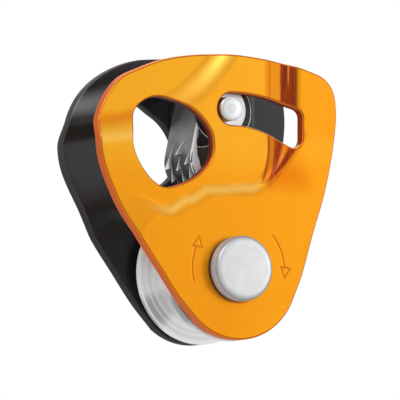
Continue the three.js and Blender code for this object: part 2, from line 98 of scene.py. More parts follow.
def makeCamera():
    s = read(cameraSettings)
    a, e = s.yaw * degree, s.pitch * degree
    back = Vector((math.sin(a) * math.cos(e), -math.cos(a) * math.cos(e), math.sin(e)))
    right = Vector((0, 0, 1)).cross(back).normalized()
    up = back.cross(right)
    half = s.picture / 2
    u, v = s.targetPixel
    spot = Vector(s.target) + back * s.distance
    spot = spot - right * ((u - half) / s.pixelsPerMm) + up * ((v - half) / s.pixelsPerMm)
    data = bpy.data.cameras.new('camera')
    data.sensor_width = 36
    data.lens = s.distance * s.pixelsPerMm * 36 / s.picture
    data.clip_start, data.clip_end = 0.05, 20
    camera = bpy.data.objects.new('camera', data)
    turn = Matrix((right, up, back)).transposed().to_4x4()
    camera.matrix_world = Matrix.Translation(spot * mm) @ turn
    scene.collection.objects.link(camera)
    scene.camera = camera


# A colour in sRGB, from 0 to 255, as a linear one
def tint(*channels):
    linear = [(c / 255) / 12.92 if c <= 10.3 else ((c / 255 + 0.055) / 1.055) ** 2.4 for c in channels]
    return (*linear, 1.0)


def operator(operation, reflected=False):
    def work(self, other):
        a, b = (other, self) if reflected else (self, other)
        return self.nodes.sums(operation, a, b)
    return work


class Wire:
    # One output socket; sums on it add their nodes
    def __init__(self, nodes, socket):
        self.nodes, self.socket = nodes, socket

    def __abs__(self):
        return self.nodes.add('Math', {'operation': 'ABSOLUTE'}, {0: self})

    __add__ = __radd__ = operator('ADD')
    __sub__, __rsub__ = operator('SUBTRACT'), operator('SUBTRACT', True)
    __mul__ = __rmul__ = operator('MULTIPLY')
    __truediv__, __rtruediv__ = operator('DIVIDE'), operator('DIVIDE', True)
    __pow__ = operator('POWER')


class Nodes:
    # A node tree with its last shader
    def __init__(self, tree, shader, constants):
        self.tree, self.shader = tree, tree.nodes[shader]
        for key, value in constants.items():
            self.shader.inputs[key].default_value = value

    def add(self, kind, settings=None, values=None, out=0):
        node = self.tree.nodes.new('ShaderNode' + kind)
        for key, value in (settings or {}).items():
            setattr(node, key, value)
        for key, value in (values or {}).items():
            if isinstance(value, Wire):
                self.tree.links.new(value.socket, node.inputs[key])
            else:
                node.inputs[key].default_value = value
        return Wire(self, node.outputs[out])

    def sums(self, operation, a, b):
        if any(isinstance(v, Wire) and v.socket.type == 'VECTOR' for v in (a, b)):
            a, b = [v if isinstance(v, (Wire, tuple)) else (v, v, v) for v in (a, b)]
            return self.add('VectorMath', {'operation': operation}, {0: a, 1: b})
        return self.add('Math', {'operation': operation}, {0: a, 1: b})

    def larger(self, a, b):
        return self.sums('MAXIMUM', a, b)

    def smaller(self, a, b):
        return self.sums('MINIMUM', a, b)

    # From below, at low, to above, at high, smooth between; low above high turns it round
    def rise(self, value, low, high, below=0.0, above=1.0):
        if low > high:
            low, high, below, above = high, low, above, below
        values = {0: value, 1: low, 2: high, 3: below, 4: above}
        return self.add('MapRange', {'interpolation_type': 'SMOOTHSTEP'}, values)

    # 1 at the middle, falling smoothly to 0 at width away on both sides
    def hump(self, value, middle, width):
        return self.rise(abs(value - middle), width, 0.0)

    def split(self, vector):
        node = self.add('SeparateXYZ', {}, {0: vector}).socket.node
        return [Wire(self, socket) for socket in node.outputs]

    def join(self, x, y, z):
        return self.add('CombineXYZ', {}, {0: x, 1: y, 2: z})

    def feed(self, socket, wire):
        self.tree.links.new(wire.socket, self.shader.inputs[socket])


class Look(Nodes):
    # One material, with a Principled shader at its end
    def __init__(self, name, constants):
        self.material = bpy.data.materials.new(name)
        self.material.use_nodes = True
        self.material.diffuse_color = constants['Base Color']
        super().__init__(self.material.node_tree, 'Principled BSDF', constants)

    def mix(self, share, a, b):
        return self.add('Mix', {'data_type': 'RGBA', 'blend_type': 'MIX'}, {0: share, 6: a, 7: b}, 2)

    # Colours laid over a first one, each with its share
    def cover(self, color, *layers):
        for share, layer in layers:
            color = self.mix(share, color, layer)
        return color

    def noise(self, where, scale, detail=2.0, roughness=0.5):
        values = {'Vector': where, 'Scale': scale, 'Detail': detail, 'Roughness': roughness}
        return self.add('TexNoise', {}, values)

    # The point on the piece, in mm
    def point(self):
        return self.add('TexCoord', out='Object') * 1000.0

    def spot(self):
        p = self.point()
        return p, *self.split(p)

    def attribute(self, name):
        return self.add('Attribute', {'attribute_name': name}, {}, 2)

    def bump(self, height, strength, distance):
        values = {'Height': height, 'Strength': strength, 'Distance': distance}
        self.feed('Normal', self.add('Bump', {}, values))


# Small shapes shared by the pieces
def ramp(u):
    t = np.clip(np.asarray(u, float) + 0.5, 0, 1)
    return t * t * (3 - 2 * t)


def arcPoints(radius, start, stop, steps, x=0.0, z=0.0):
    angles = np.linspace(start, stop, steps + 1)
    return np.stack([x + radius * np.cos(angles), z + radius * np.sin(angles)], 1)


def circlePoints(radius, x=0.0, z=0.0, steps=96):
    return arcPoints(radius, 0, 2 * math.pi, steps, x, z)[1:]


# Smooth line through given points, evenly weighted by the root of their distances
def smoothLine(points, perPoint, closed):
    p = [np.array(q, float) for q in points]
    if closed:
        p = [p[-1], *p, p[0], p[1]]
    else:
        p = [2 * p[0] - p[1], *p, 2 * p[-1] - p[-2]]
    line = []
    for a, b, c, d in zip(p, p[1:], p[2:], p[3:]):
        ab, bc, cd = [max(np.linalg.norm(way) ** 0.5, 1e-4) for way in (b - a, c - b, d - c)]
        t1 = ((b - a) / ab - (c - a) / (ab + bc) + (c - b) / bc) * bc
        t2 = ((c - b) / bc - (d - b) / (bc + cd) + (d - c) / cd) * bc
        for t in np.arange(perPoint) / perPoint:
            line.append(b + t1 * t + (3 * (c - b) - 2 * t1 - t2) * t ** 2 + (2 * (b - c) + t1 + t2) * t ** 3)
    if not closed:
        line.append(p[-2])
    return np.array(line)


def signedArea(loop):
    x, z = loop[:, 0], loop[:, 1]
    return 0.5 * float(np.sum(x * np.roll(z, -1) - np.roll(x, -1) * z))


def unit(rows):
    return rows / np.linalg.norm(rows, axis=1)[:, None]


# Unit normals of a closed loop, looking out of what it encloses
def loopNormals(loop):
    way = unit(np.roll(loop, -1, 0) - np.roll(loop, 1, 0))
    sign = 1 if signedArea(loop) > 0 else -1
    return sign * np.stack([way[:, 1], -way[:, 0]], 1)


def insideLoop(points, loop):
    x, z = points[:, 0][:, None], points[:, 1][:, None]
    a, b = loop, np.roll(loop, -1, 0)
    crosses = (a[:, 1] > z) != (b[:, 1] > z)
    height = np.where(np.abs(b[:, 1] - a[:, 1]) < 1e-9, 1e-9, b[:, 1] - a[:, 1])
    at = a[:, 0] + (z - a[:, 1]) / height * (b[:, 0] - a[:, 0])
    return (np.sum(crosses & (x < at), axis=1) % 2) == 1


def insideRegion(points, outer, holes):
    within = insideLoop(points, outer)
    for hole in holes:
        within &= ~insideLoop(points, hole)
    return within


def distanceToLoop(points, loop):
    least = np.full(len(points), 1e9)
    for a, b in zip(loop, np.roll(loop, -1, 0)):
        way = b - a
        t = np.clip(((points - a) @ way) / max(way @ way, 1e-12), 0, 1)
        least = np.minimum(least, np.linalg.norm(points - a - t[:, None] * way, axis=1))
    return least


# Triangles over a flat region with holes, with loose points spread inside it
def fillRegion(outer, holes, spacing):
    loops = [outer, *holes]
    points = [tuple(p) for loop in loops for p in loop]
    edges, start = [], 0
    for loop in loops:
        n = len(loop)
        edges += [(start + i, start + (i + 1) % n) for i in range(n)]
        start += n
    if spacing:
        low, high = outer.min(0), outer.max(0)
        rows = np.arange(low[1] + spacing / 2, high[1], spacing * 0.866)
        grid = [(x, z) for j, z in enumerate(rows)
                for x in np.arange(low[0] + (j % 2) * spacing / 2, high[0], spacing)]
        grid = np.array(grid)
        grid = grid[insideRegion(grid, outer, holes)]
        away = np.full(len(grid), 1e9)
        for loop in loops:
            away = np.minimum(away, distanceToLoop(grid, loop))
        points += [tuple(p) for p in grid[away > spacing * 0.45]]
    made = delaunay_2d_cdt([Vector(p) for p in points], edges, [], 0, 1e-6)
    flat = np.array([tuple(p) for p in made[0]])
    triangles = np.array(made[2])
    return flat, triangles[insideRegion(flat[triangles].mean(1), outer, holes)], made[3]


def newPiece(name, points, faces, look):
    mesh = bpy.data.meshes.new(name)
    spots = [tuple(p) for p in np.asarray(points) * mm]
    mesh.from_pydata(spots, [], [tuple(int(i) for i in f) for f in faces])
    mesh.materials.append(look.material)
    mesh.polygons.foreach_set('use_smooth', [True] * len(mesh.polygons))
    piece = bpy.data.objects.new(name, mesh)
    scene.collection.objects.link(piece)
    return piece


def faceOutwards(piece, weld=0):
    work = bmesh.new()
    work.from_mesh(piece.data)
    if weld:
        bmesh.ops.remove_doubles(work, verts=work.verts, dist=weld)
    bmesh.ops.recalc_face_normals(work, faces=work.faces)
    work.to_mesh(piece.data)
    work.free()


def place(piece, body, slot, node):
    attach(piece, body)
    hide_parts(node)


# Sides of a tube whose rings of points follow each other, and of its closed turn
def tubeFaces(rings, around, closed):
    return [(i * around + k, i * around + (k + 1) % around,
             (i + 1) % rings * around + (k + 1) % around, (i + 1) % rings * around + k)
            for i in range(rings if closed else rings - 1) for k in range(around)]


turnedSizes = {'sharp': 32, 'edgeSegments': 2, 'weld': 1e-7}


# A closed profile of [radius, y] turned round an axis along Y, with its edges softened
def turnedPiece(node, finish, body, slot, look, profile, segments, soft, x=0.0, z=0.0):
    s = read(turnedSizes)
    rings = [(x + r * math.cos(t), y, z + r * math.sin(t))
             for t in np.arange(segments) * 2 * math.pi / segments for r, y in profile]
    piece = newPiece(node + finish, rings, tubeFaces(segments, len(profile), True), look)
    faceOutwards(piece, s.weld)
    piece.data.set_sharp_from_angle(angle=s.sharp * degree)
    if soft:
        bevel = piece.modifiers.new('softEdges', 'BEVEL')
        bevel.width, bevel.segments = soft * mm, s.edgeSegments
        bevel.limit_method, bevel.angle_limit = 'ANGLE', s.sharp * degree
        bevel.harden_normals = True
    place(piece, body, slot, node)


# A flat outline in X and Z, given depth along Y
def slabShape(outline, low, high, holes=()):
    flat, triangles, _ = fillRegion(outline, list(holes), 0)
    n = len(flat)
    points = [(x, low, z) for x, z in flat] + [(x, high, z) for x, z in flat]
    faces = [tuple(t) for t in triangles] + [tuple(n + i for i in reversed(t)) for t in triangles]
    sides = {}
    for t in triangles:
        for a, b in zip(t, np.roll(t, -1)):
            key = (min(a, b), max(a, b))
            sides[key] = None if key in sides else (a, b)
    faces += [(a, b, n + b, n + a) for a, b in filter(None, sides.values())]
    return points, faces


# Side plates
plateSizes = {
    'width': 57.2, 'rise': 46.5, 'apex': 14.75, 'apexDrop': 0.45, 'thick': 2.7, 'holeGap': 0.1,
    'recess': 1.35, 'eyeSink': 2.1, 'eyeSoft': 5.5, 'bendRadius': 40, 'bendX': -35.3, 'bendZ': 69.1,
    'foldLine': 13.35, 'foldSoft': 3.8, 'foldBend': 34, 'foldDrop': 6.8, 'waveLow': 18.5,
    'waveSoft': 3.2, 'waveFade': 9, 'fadeFrom': -23, 'fadeOver': 8, 'spacing': 0.62, 'perPoint': 9,
}
flankShares = [
    (0.277, -0.016), (0.325, 0.178), (0.375, 0.366), (0.414, 0.59), (0.426, 0.752), (0.412, 0.85),
    (0.373, 0.905), (0.313, 0.934), (0.196, 0.97), (0.08, 0.99), (-0.06, 0.998), (-0.18, 0.986),
    (-0.286, 0.961), (-0.386, 0.915), (-0.462, 0.87), (-0.517, 0.795), (-0.556, 0.695), (-0.571, 0.582),
    (-0.557, 0.467), (-0.489, 0.279), (-0.416, 0.132), (-0.338, 0), (-0.2545, -0.14),
]
waveShares = [
    (-0.6, 0.12), (-0.47, 0.19), (-0.37, 0.265), (-0.285, 0.254), (-0.2, 0.305), (-0.114, 0.355),
    (0.056, 0.37), (0.142, 0.405), (0.5, 0.44),
]

# Materials
print('looks: building the materials')

# Tones of the orange plate, many of them painted light and shade: pale and light for painted light, glint and
# lit for painted highlights, umber and the red tone for painted reflection streaks and the contact shade,
# amber between the streaks, line for the engraved arrows and a painted dark line on the edge, the hole tones
# for painted shade in the holes, and deep for random tone and painted shade
orangeTones = {name: tint(*color) for name, color in {
    'body': (229, 147, 14), 'pale': (232, 160, 30), 'deep': (218, 120, 2), 'light': (240, 188, 84),
    'amber': (206, 112, 8), 'umber': (134, 44, 4), 'rust': (166, 66, 14), 'glint': (238, 142, 58),
    'wall': (218, 98, 16), 'line': (184, 92, 6), 'lit': (250, 196, 118),
    'holeWall': (182, 68, 6), 'holeDeep': (92, 28, 4),
}.items()}
# Engraved arrows round the axle: a ring segment with a hollow head at one end
arrowSizes = {
    'ring': 11.25, 'line': 0.17, 'lineSoft': 0.14, 'lineCore': 0.1, 'endSoft': 0.15,
    'head': 2.2, 'spread': 0.52,
}
arrows = [
    {'from': 150.3, 'to': 195.8, 'tip': (-9.7, 6.7), 'toward': 82},
    {'from': -4.3, 'to': 42.1, 'tip': (11.2, -1.5), 'toward': -98},
]


# Distance from an axis along Y
def axisDistance(x, z, axisX=0.0, axisZ=0.0):
    dx, dz = x - axisX, z - axisZ
    return (dx * dx + dz * dz) ** 0.5


# Distance along a heading, in degrees from X towards Z
def headingPart(x, z, heading):
    return x * math.cos(heading * degree) + z * math.sin(heading * degree)


# 1 on the engraved lines of both arrows
def arrowLines(look, x, z):
    s = read(arrowSizes)
    thick, thin = s.line + s.lineSoft, s.line - s.lineCore
    radius = axisDistance(x, z)
    lines = 0.0
    for arrow in arrows:
        middle, half = (arrow['from'] + arrow['to']) / 2, (arrow['to'] - arrow['from']) / 2
        reach = s.ring * math.sin(half * degree)
        within = look.rise(abs(headingPart(x, z, middle + 90)), reach + s.endSoft, reach - s.endSoft)
        within = within * look.rise(headingPart(x, z, middle), 0.0, 1.0)
        arc = look.rise(abs(radius - s.ring), thick, thin) * within
        dx, dz = x - arrow['tip'][0], z - arrow['tip'][1]
        back = headingPart(dx, dz, arrow['toward'] + 180)
        side = abs(headingPart(dx, dz, arrow['toward'] + 90))
        beside = (side - back * s.spread) / math.hypot(1, s.spread)
        inside = look.larger(beside, back - s.head)
        head = look.rise(abs(inside), thick, thin)
        hollow = look.rise(inside, -s.lineCore, s.lineCore)
        lines = look.larger(look.larger(arc * hollow, head), lines)
    return lines


# Height of the soft step above the sheave, as a chain of smooth rises
def waveLine(look, x):
    s = read(plateSizes)
    total = s.rise * waveShares[0][1]
    for (s0, z0), (s1, z1) in zip(waveShares, waveShares[1:]):
        total = total + look.rise(x, s0 * s.width, s1 * s.width) * (z1 - z0) * s.rise
    return total


def anodisedOrange():
    tones, s = orangeTones, read(plateSizes)
    look = Look('anodisedOrange', {
        'Base Color': tones['body'], 'Metallic': 0.9, 'Roughness': 0.3,
        'Specular IOR Level': 0.25, 'Coat Weight': 0.12, 'Coat Roughness': 0.12, 'Coat IOR': 1.5,
    })
    rise, hump, larger, smaller = look.rise, look.hump, look.larger, look.smaller
    p, x, y, z = look.spot()
    cloud = look.noise(p, 0.09, 2.0)
    grain = look.noise(p * (1.0, 1.0, 3.0), 3.2, 3.0)
    # painted light on the paler upper zone and on a patch up the right flank, painted shade on the deeper
    # lower flank
    below = smaller(larger((s.foldBend - z) / (s.foldBend - s.waveLow), 0.0) ** 2.0, 1.0)
    across = x - (s.foldLine - below * s.foldDrop)
    upper = rise(z, 17.0, 27.0) * rise(across, 0.5, -4.0)
    patch = hump(z, 27.0, 4.5) * rise(x, 14.0, 18.0) * 0.9
    flank = rise(across, 0.2, 1.2) * hump(z, 20.6, 5.4) * rise(x + z * 0.35, 27.0, 21.0)
    # painted highlight bands on the bend round the corner and on the step above the sheave, and painted shade
    # on the bend at the left
    bend = axisDistance(x, z, s.bendX, s.bendZ) - s.bendRadius
    shadow = hump(bend, -1.6, 2.4) * rise(x, -20.0, -24.0) * 0.7
    highlightBand = hump(bend, 0.1, 2.8) * (0.2 + rise(z, 33.0, 43.0) * 0.4) * rise(x, -20.0, -14.0)
    highlightBand = larger(highlightBand, hump(bend, 2.2, 2.2) * rise(x, -21.0, -25.0) * 0.7)
    step = (z - waveLine(look, x)) / s.waveSoft
    highlightBand = larger(highlightBand, hump(step, 0.1, 0.52) * rise(x, -23.0, -15.0) * rise(across, 0.0, -2.0) * 0.85)
    # painted reflection streaks above the slot: dark ones, amber painted reflection beside them, and a bright
    # painted highlight line
    top = rise(z, 33.5, 34.5)
    dark = rise(across, -2.6, -2.0) * rise(across, 1.6, 0.9) * top
    mild = rise(across, -6.4, -5.6) * rise(across, -1.8, -2.3) * 0.6 + hump(across, -4.9, 0.45) * 0.5
    bright = hump(across, -0.5, 0.28) * rise(z, 38.0, 43.5) * top
    # noise that varies the painted dark reflections between umber and red
    reflectionNoise = look.noise(look.join(x * 1.6, 0.0, z * 0.12), 1.0, 2.0)
    umber = look.mix(rise(reflectionNoise, 0.4, 0.7), tones['umber'], tones['rust'])
    # painted reflection streaks below the slot, drawing together towards the sheave
    first = across + 0.7 + (z - 19.3) * 0.39
    second = across - 0.1 + (z - 21.3) * 0.27
    third = across - 0.75 - (z - 21.3) * 0.16
    low = rise(z, 18.0, 20.5) * rise(z, 31.0, 29.0)
    spread = larger(z - 21.3, 0.0) * 0.15
    lowMild = rise(first, -0.2, 0.2) * rise(third, 2.6, 0.6) * low
    reflectionStreaks = larger(hump(first, 0.0, 0.5) * 0.85, hump(second / (spread + 0.5), 0.0, 1.0) * 1.7)
    reflectionStreaks = larger(reflectionStreaks, hump(third / (spread + 0.65), 0.0, 1.0) * 1.7)
    reflectionStreaks = smaller(reflectionStreaks, 1.0) * low
    # contact shade and arrows round the axle's head
    front = rise(y, 7.0, 6.2)
    contact = hump(axisDistance(x, z), 6.95, 0.75) * rise(x + z * 0.7, 1.5, -4.5) * front
    marks = arrowLines(look, x, z) * front
    # rounded edges and walls, with painted light and shade: a painted dark line where the face turns, a
    # painted glint on the edge, hole walls painted darker and darker still deeper in as painted shade, and a
    # painted highlight on rim walls facing up
    wall, rim = look.attribute('wall'), look.attribute('rim')
    depth = rise(y, 4.6, 6.6) + rise(cloud, 0.5, 0.7) * 0.3
    inner = look.mix(depth, tones['holeWall'], tones['holeDeep'])
    side = look.mix(rise(rim, 0.4, 0.6), tones['wall'], inner)
    upwards = look.split(look.add('TexCoord', out='Normal'))[2]
    lit = rise(wall, 0.25, 0.5) * rise(upwards, 0.45, 0.85) * rim * rise(x, -6.0, -4.5)
    look.feed('Base Color', look.cover(
        tones['body'], (larger(upper, patch), tones['pale']), (flank, tones['deep']),
        (rise(cloud, 0.45, 0.8) * 0.3, tones['deep']), (shadow, tones['deep']), (highlightBand, tones['light']),
        (mild * top, tones['amber']), (dark, umber), (bright, tones['glint']),
        (lowMild * 0.9, tones['amber']), (reflectionStreaks, umber), (contact * 0.8, tones['umber']),
        (marks * 0.8, tones['line']), (rise(wall, 0.0, 0.2) * 0.9, tones['line']),
        (hump(wall, 0.65, 0.3) * 0.9, tones['glint']), (rise(wall, 0.8, 0.95), side), (lit, tones['lit']),
    ))
    onWall = rise(wall, 0.75, 0.95)
    look.feed('Metallic', 0.9 - onWall * 0.75)
    look.feed('Coat Weight', 0.12 - rise(wall, 0.5, 0.9) * 0.12)
    rough = 0.28 + rise(grain, 0.3, 0.7) * 0.06 + rise(cloud, 0.4, 0.7) * 0.03 + onWall * 0.25
    look.feed('Roughness', rough + smaller(reflectionStreaks + lowMild, 1.0) * 0.2)
    look.bump(grain * 0.6 + look.noise(p, 14.0, 2.0) * 0.3 - marks * 6.0, 0.14, 0.00004)
    return look


def anodisedBlack():
    look = Look('anodisedBlack', {
        'Base Color': tint(26, 26, 28), 'Metallic': 0.25, 'Roughness': 0.36,
        'Coat Weight': 0.12, 'Coat Roughness': 0.2,
    })
    rise, hump = look.rise, look.hump
    p, x, y, z = look.spot()
    cloud = look.noise(p, 0.12, 3.0)
    grain = look.noise(p, 4.5, 3.0)
    # painted grey sheen inside the bend of the corner, painted shade black on the bend itself, and the inner
    # face painted lighter beyond the bend
    bend = axisDistance(x, z, plateSizes['bendX'], plateSizes['bendZ'])
    inside = rise(y, 23.0, 21.5)
    corner = rise(x, -17.0, -21.0) * inside
    wall, rim = look.attribute('wall'), look.attribute('rim')
    # painted light on the walls, lighter towards the top, painted shade on the hole walls, and a painted
    # glint on the rounded edge
    glint = hump(wall, 0.5, 0.35) * (1.0 - rim) * rise(z, -6.0, 20.0)
    side = look.mix(rise(z, 6.0, 34.0), tint(18, 18, 19), tint(48, 49, 51))
    side = look.mix(rise(rim, 0.4, 0.6), side, tint(16, 16, 17))
    look.feed('Base Color', look.cover(
        tint(22, 23, 26), (rise(cloud, 0.35, 0.7), tint(33, 34, 38)),
        (inside * rise(bend, 40.0, 42.0), tint(39, 41, 46)),
        (hump(bend, 34.2, 3.4) * corner, tint(128, 136, 147)),
        (hump(bend, 39.8, 3.0) * corner * 0.8, tint(9, 9, 10)),
        (rise(wall, 0.6, 0.9), side), (glint * 0.5, tint(84, 85, 88)),
    ))
    onWall = rise(wall, 0.3, 0.7)
    look.feed('Coat Weight', 0.12 - onWall * 0.12)
    look.feed('Roughness', 0.33 + rise(grain, 0.3, 0.75) * 0.1 + onWall * 0.3)
    look.bump(grain, 0.12, 0.00004)
    return look


ringsPerMm = 4.0


# Turned metal shows rings round its own axis; spokes paint a tone towards a heading, as painted shade, and
# arcs paint light and dark rings at a radius, as painted reflections
def turnedMetal(name, settings, constants):
    look = Look(name, constants)
    rise = look.rise
    p, x, y, z = look.spot()
    cx, cz = settings['axis']
    radius = axisDistance(x, z, cx, cz)
    rings = look.noise(look.join(radius * ringsPerMm, y * ringsPerMm, 0.0), 1.0, 3.0, 0.6)
    wide = look.noise(look.join(radius, y, 0.0), settings['bands'], 1.0)
    cloud = look.noise(p, 0.35, 2.0)
    share = rise(wide, 0.3, 0.7) * 0.6 + rise(rings, 0.25, 0.75) * 0.3 + rise(cloud, 0.35, 0.7) * 0.1
    color = look.mix(share, settings['dark'], settings['light'])
    for heading, near, far, amount, shade in settings.get('spokes', ()):
        toward = headingPart(x - cx, z - cz, heading) / (radius + 0.01)
        soft = rise(toward, far, near) * (0.4 + rise(radius, 10.5, 14.0) * 0.6)
        color = look.mix(soft * amount, color, shade)
    for middle, half, amount, shade in settings.get('arcs', ()):
        color = look.mix(look.hump(radius, middle, half) * amount, color, shade)
    look.feed('Base Color', color)
    look.feed('Roughness', settings['rough'] + rise(rings, 0.25, 0.75) * settings['spread'])
    look.bump(rings, settings['cut'], 0.00003)
    return look


def castSteel():
    look = Look('castSteel', {'Base Color': tint(132, 133, 136), 'Metallic': 0.55, 'Roughness': 0.4})
    rise = look.rise
    p, x, y, z = look.spot()
    grain = look.noise(p, 2.6, 4.0, 0.6)
    cloud = look.noise(p, 0.3, 2.0)
    worn, skin, lift = look.attribute('worn'), look.attribute('skin'), look.attribute('lift')
    toothed = rise(z, 26.5, 24.0)
    cut = look.hump(skin, 0.5, 0.2)
    # painted shade: darker towards the rear plate, in the tooth hollows and on everything behind the toothed
    # skin; painted highlights on the tooth crests, the sheet's cut side and the rounded ridges
    look.feed('Base Color', look.cover(
        tint(98, 99, 102), (rise(y, 19.5, 9.5), tint(146, 147, 150)),
        (rise(cloud, 0.3, 0.7) * 0.3, tint(158, 159, 162)),
        (rise(lift, 0.45, 1.0) * toothed, tint(250, 252, 255)),
        (rise(lift, 0.35, 0.05) * toothed * 0.75, tint(34, 35, 38)),
        (rise(skin, 0.3, 0.1), tint(44, 44, 47)), (cut, tint(226, 232, 242)),
        (worn * look.larger(rise(skin, 0.7, 0.9), 0.85), tint(255, 255, 255)),
    ))
    look.feed('Metallic', 0.55 - worn * 0.35 - cut * 0.15)
    look.feed('Roughness', 0.38 + rise(grain, 0.3, 0.7) * 0.1 - worn * 0.1)
    look.bump(grain, 0.15, 0.00005)
    return look


# Satin head with painted reflection bands round its side: a grey shoulder, a cool-tinted stripe against the
# orange plate's reflection, and a dark band near the plate
def headMetal():
    look = Look('headSatin', {'Base Color': tint(215, 216, 218), 'Metallic': 0.6, 'Roughness': 0.36})
    rise, hump = look.rise, look.hump
    p, x, y, z = look.spot()
    radius = axisDistance(x, z)
    rings = look.noise(look.join(radius * 5.0, y * 5.0, 0.0), 1.0, 3.0, 0.6)
    cloud = look.noise(p, 0.4, 2.0)
    onHead = rise(y, 3.3, 3.1)
    look.feed('Base Color', look.cover(
        tint(222, 222, 223), (rise(cloud, 0.35, 0.7), tint(230, 230, 231)),
        (hump(y, 0.5, 0.7) * onHead * 0.85, tint(138, 139, 141)),
        (hump(y, 1.65, 0.6) * onHead, tint(150, 186, 226)), (rise(y, 2.1, 2.7) * onHead, tint(94, 118, 146)),
    ))
    look.feed('Metallic', 0.6 - rise(y, 0.1, 0.9) * onHead * 0.4)
    look.feed('Roughness', 0.34 + rise(rings, 0.25, 0.75) * 0.06)
    look.bump(rings - rise(radius, 0.5, 0.2) * 4.0, 0.03, 0.00003)
    return look


# A look whose tone and roughness follow one fine grain
def grained(name, constants, s):
    look = Look(name, constants)
    grain = look.noise(look.point() * s.get('stretch', 1.0), s['scale'], 3.0)
    look.feed('Base Color', look.mix(look.rise(grain, s['from'], 0.7), s['dark'], s['light']))
    look.feed('Roughness', s['rough'] + look.rise(grain, s.get('roughFrom', 0.3), 0.7) * s['spread'])
    look.bump(grain, s['cut'], s['depth'])
    return look


orange = anodisedOrange()
black = anodisedBlack()
headSteel = headMetal()
spacerSteel = turnedMetal('spacerSteel', {
    'axis': (0, 0), 'bands': 0.8, 'rough': 0.3, 'spread': 0.08, 'cut': 0.08,
    'dark': tint(190, 191, 193), 'light': tint(222, 223, 225),
}, {'Base Color': tint(205, 206, 208), 'Metallic': 0.95, 'Roughness': 0.32})
camAxleSteel = turnedMetal('camAxleSteel', {
    'axis': pivot, 'bands': 1.1, 'rough': 0.3, 'spread': 0.08, 'cut': 0.07,
    'dark': tint(192, 193, 195), 'light': tint(226, 227, 228),
}, {'Base Color': tint(215, 216, 218), 'Metallic': 0.95, 'Roughness': 0.3})
# The sheave's painted light and shade: dark spokes to the lower left and upper right, a cool painted tint to
# the left against the orange plate's reflected light, and painted light and dark reflection rings
arcHighlight, arcShade, spokeShade = tint(255, 255, 255), tint(150, 151, 154), tint(84, 87, 92)
sheaveAlloy = turnedMetal('sheaveAlloy', {
    'axis': (0, 0), 'bands': 0.45, 'rough': 0.3, 'spread': 0.05, 'cut': 0.02,
    'dark': tint(220, 221, 223), 'light': tint(248, 249, 250),
    'spokes': ((217, 0.994, 0.94, 0.6, spokeShade), (37, 0.994, 0.94, 0.5, spokeShade),
               (170, 0.98, 0.85, 0.7, tint(232, 244, 255))),
    'arcs': ((14.8, 0.35, 0.9, arcHighlight), (14.05, 0.3, 0.14, arcShade), (13.3, 0.3, 0.5, arcHighlight),
             (12.75, 0.25, 0.16, arcShade), (12.2, 0.3, 0.5, arcHighlight), (11.5, 0.3, 0.14, arcShade)),
}, {'Base Color': tint(236, 237, 239), 'Metallic': 0.25, 'Roughness': 0.32})
pinSteel = turnedMetal('pinSteel', {
    'axis': (5.12, 41.68), 'bands': 1.2, 'rough': 0.26, 'spread': 0.1, 'cut': 0.15,
    'dark': tint(170, 171, 174), 'light': tint(215, 216, 218),
}, {'Base Color': tint(205, 206, 208), 'Metallic': 0.95, 'Roughness': 0.3})
cast = castSteel()
bearing = grained('bearingSteel', {'Base Color': tint(190, 192, 196), 'Metallic': 1.0, 'Roughness': 0.16}, {
    'scale': 5.0, 'from': 0.3, 'dark': tint(178, 180, 184), 'light': tint(205, 207, 210),
    'rough': 0.13, 'roughFrom': 0.35, 'spread': 0.06, 'cut': 0.05, 'depth': 0.00002,
})
spring = grained('springSteel', {'Base Color': tint(160, 161, 165), 'Metallic': 1.0, 'Roughness': 0.3}, {
    'scale': 1.6, 'stretch': (1.0, 4.0, 1.0), 'from': 0.3, 'dark': tint(138, 138, 142),
    'light': tint(182, 183, 187), 'rough': 0.26, 'spread': 0.1, 'cut': 0.12, 'depth': 0.00003,
})
nylon = grained('blackNylon', {'Base Color': tint(22, 22, 24), 'Roughness': 0.55}, {
    'scale': 6.0, 'from': 0.35, 'dark': tint(12, 12, 13), 'light': tint(24, 24, 26),
    'rough': 0.5, 'spread': 0.14, 'cut': 0.2, 'depth': 0.00004,
})
rubber = grained('sealRubber', {'Base Color': tint(34, 34, 37), 'Roughness': 0.7}, {
    'scale': 8.0, 'from': 0.35, 'dark': tint(30, 30, 32), 'light': tint(46, 46, 50),
    'rough': 0.64, 'spread': 0.12, 'cut': 0.2, 'depth': 0.00003,
})


# Outlines of the side plates' holes
eyeShares = [
    (-0.468, 0.163), (-0.4, 0.365), (-0.25, 0.478), (-0.1, 0.502), (0.08, 0.458), (0.343, 0.3),
    (0.485, 0.091), (0.475, -0.155), (0.29, -0.368), (0.01, -0.49), (-0.109, -0.503), (-0.246, -0.437),
    (-0.424, -0.21), (-0.485, -0.023),
]
eyeSizes = {'width': 19.7, 'height': 19.3, 'x': -15.05, 'z': 26.85, 'growHeading': -37, 'perPoint': 8}
slotSizes = {'width': 6.9, 'corner': 2, 'end': 15.9, 'lowRadius': 22, 'tipRadius': 2.66, 'tipSideGap': 0.2}
rearSizes = {
    'flankTrim': 1.4, 'heelTrim': 0.5, 'crown': 1.3, 'crownShare': 0.94, 'crownSpread': 0.065,
    'eyeGrow': 1.3, 'eyePinch': 0.2,
}


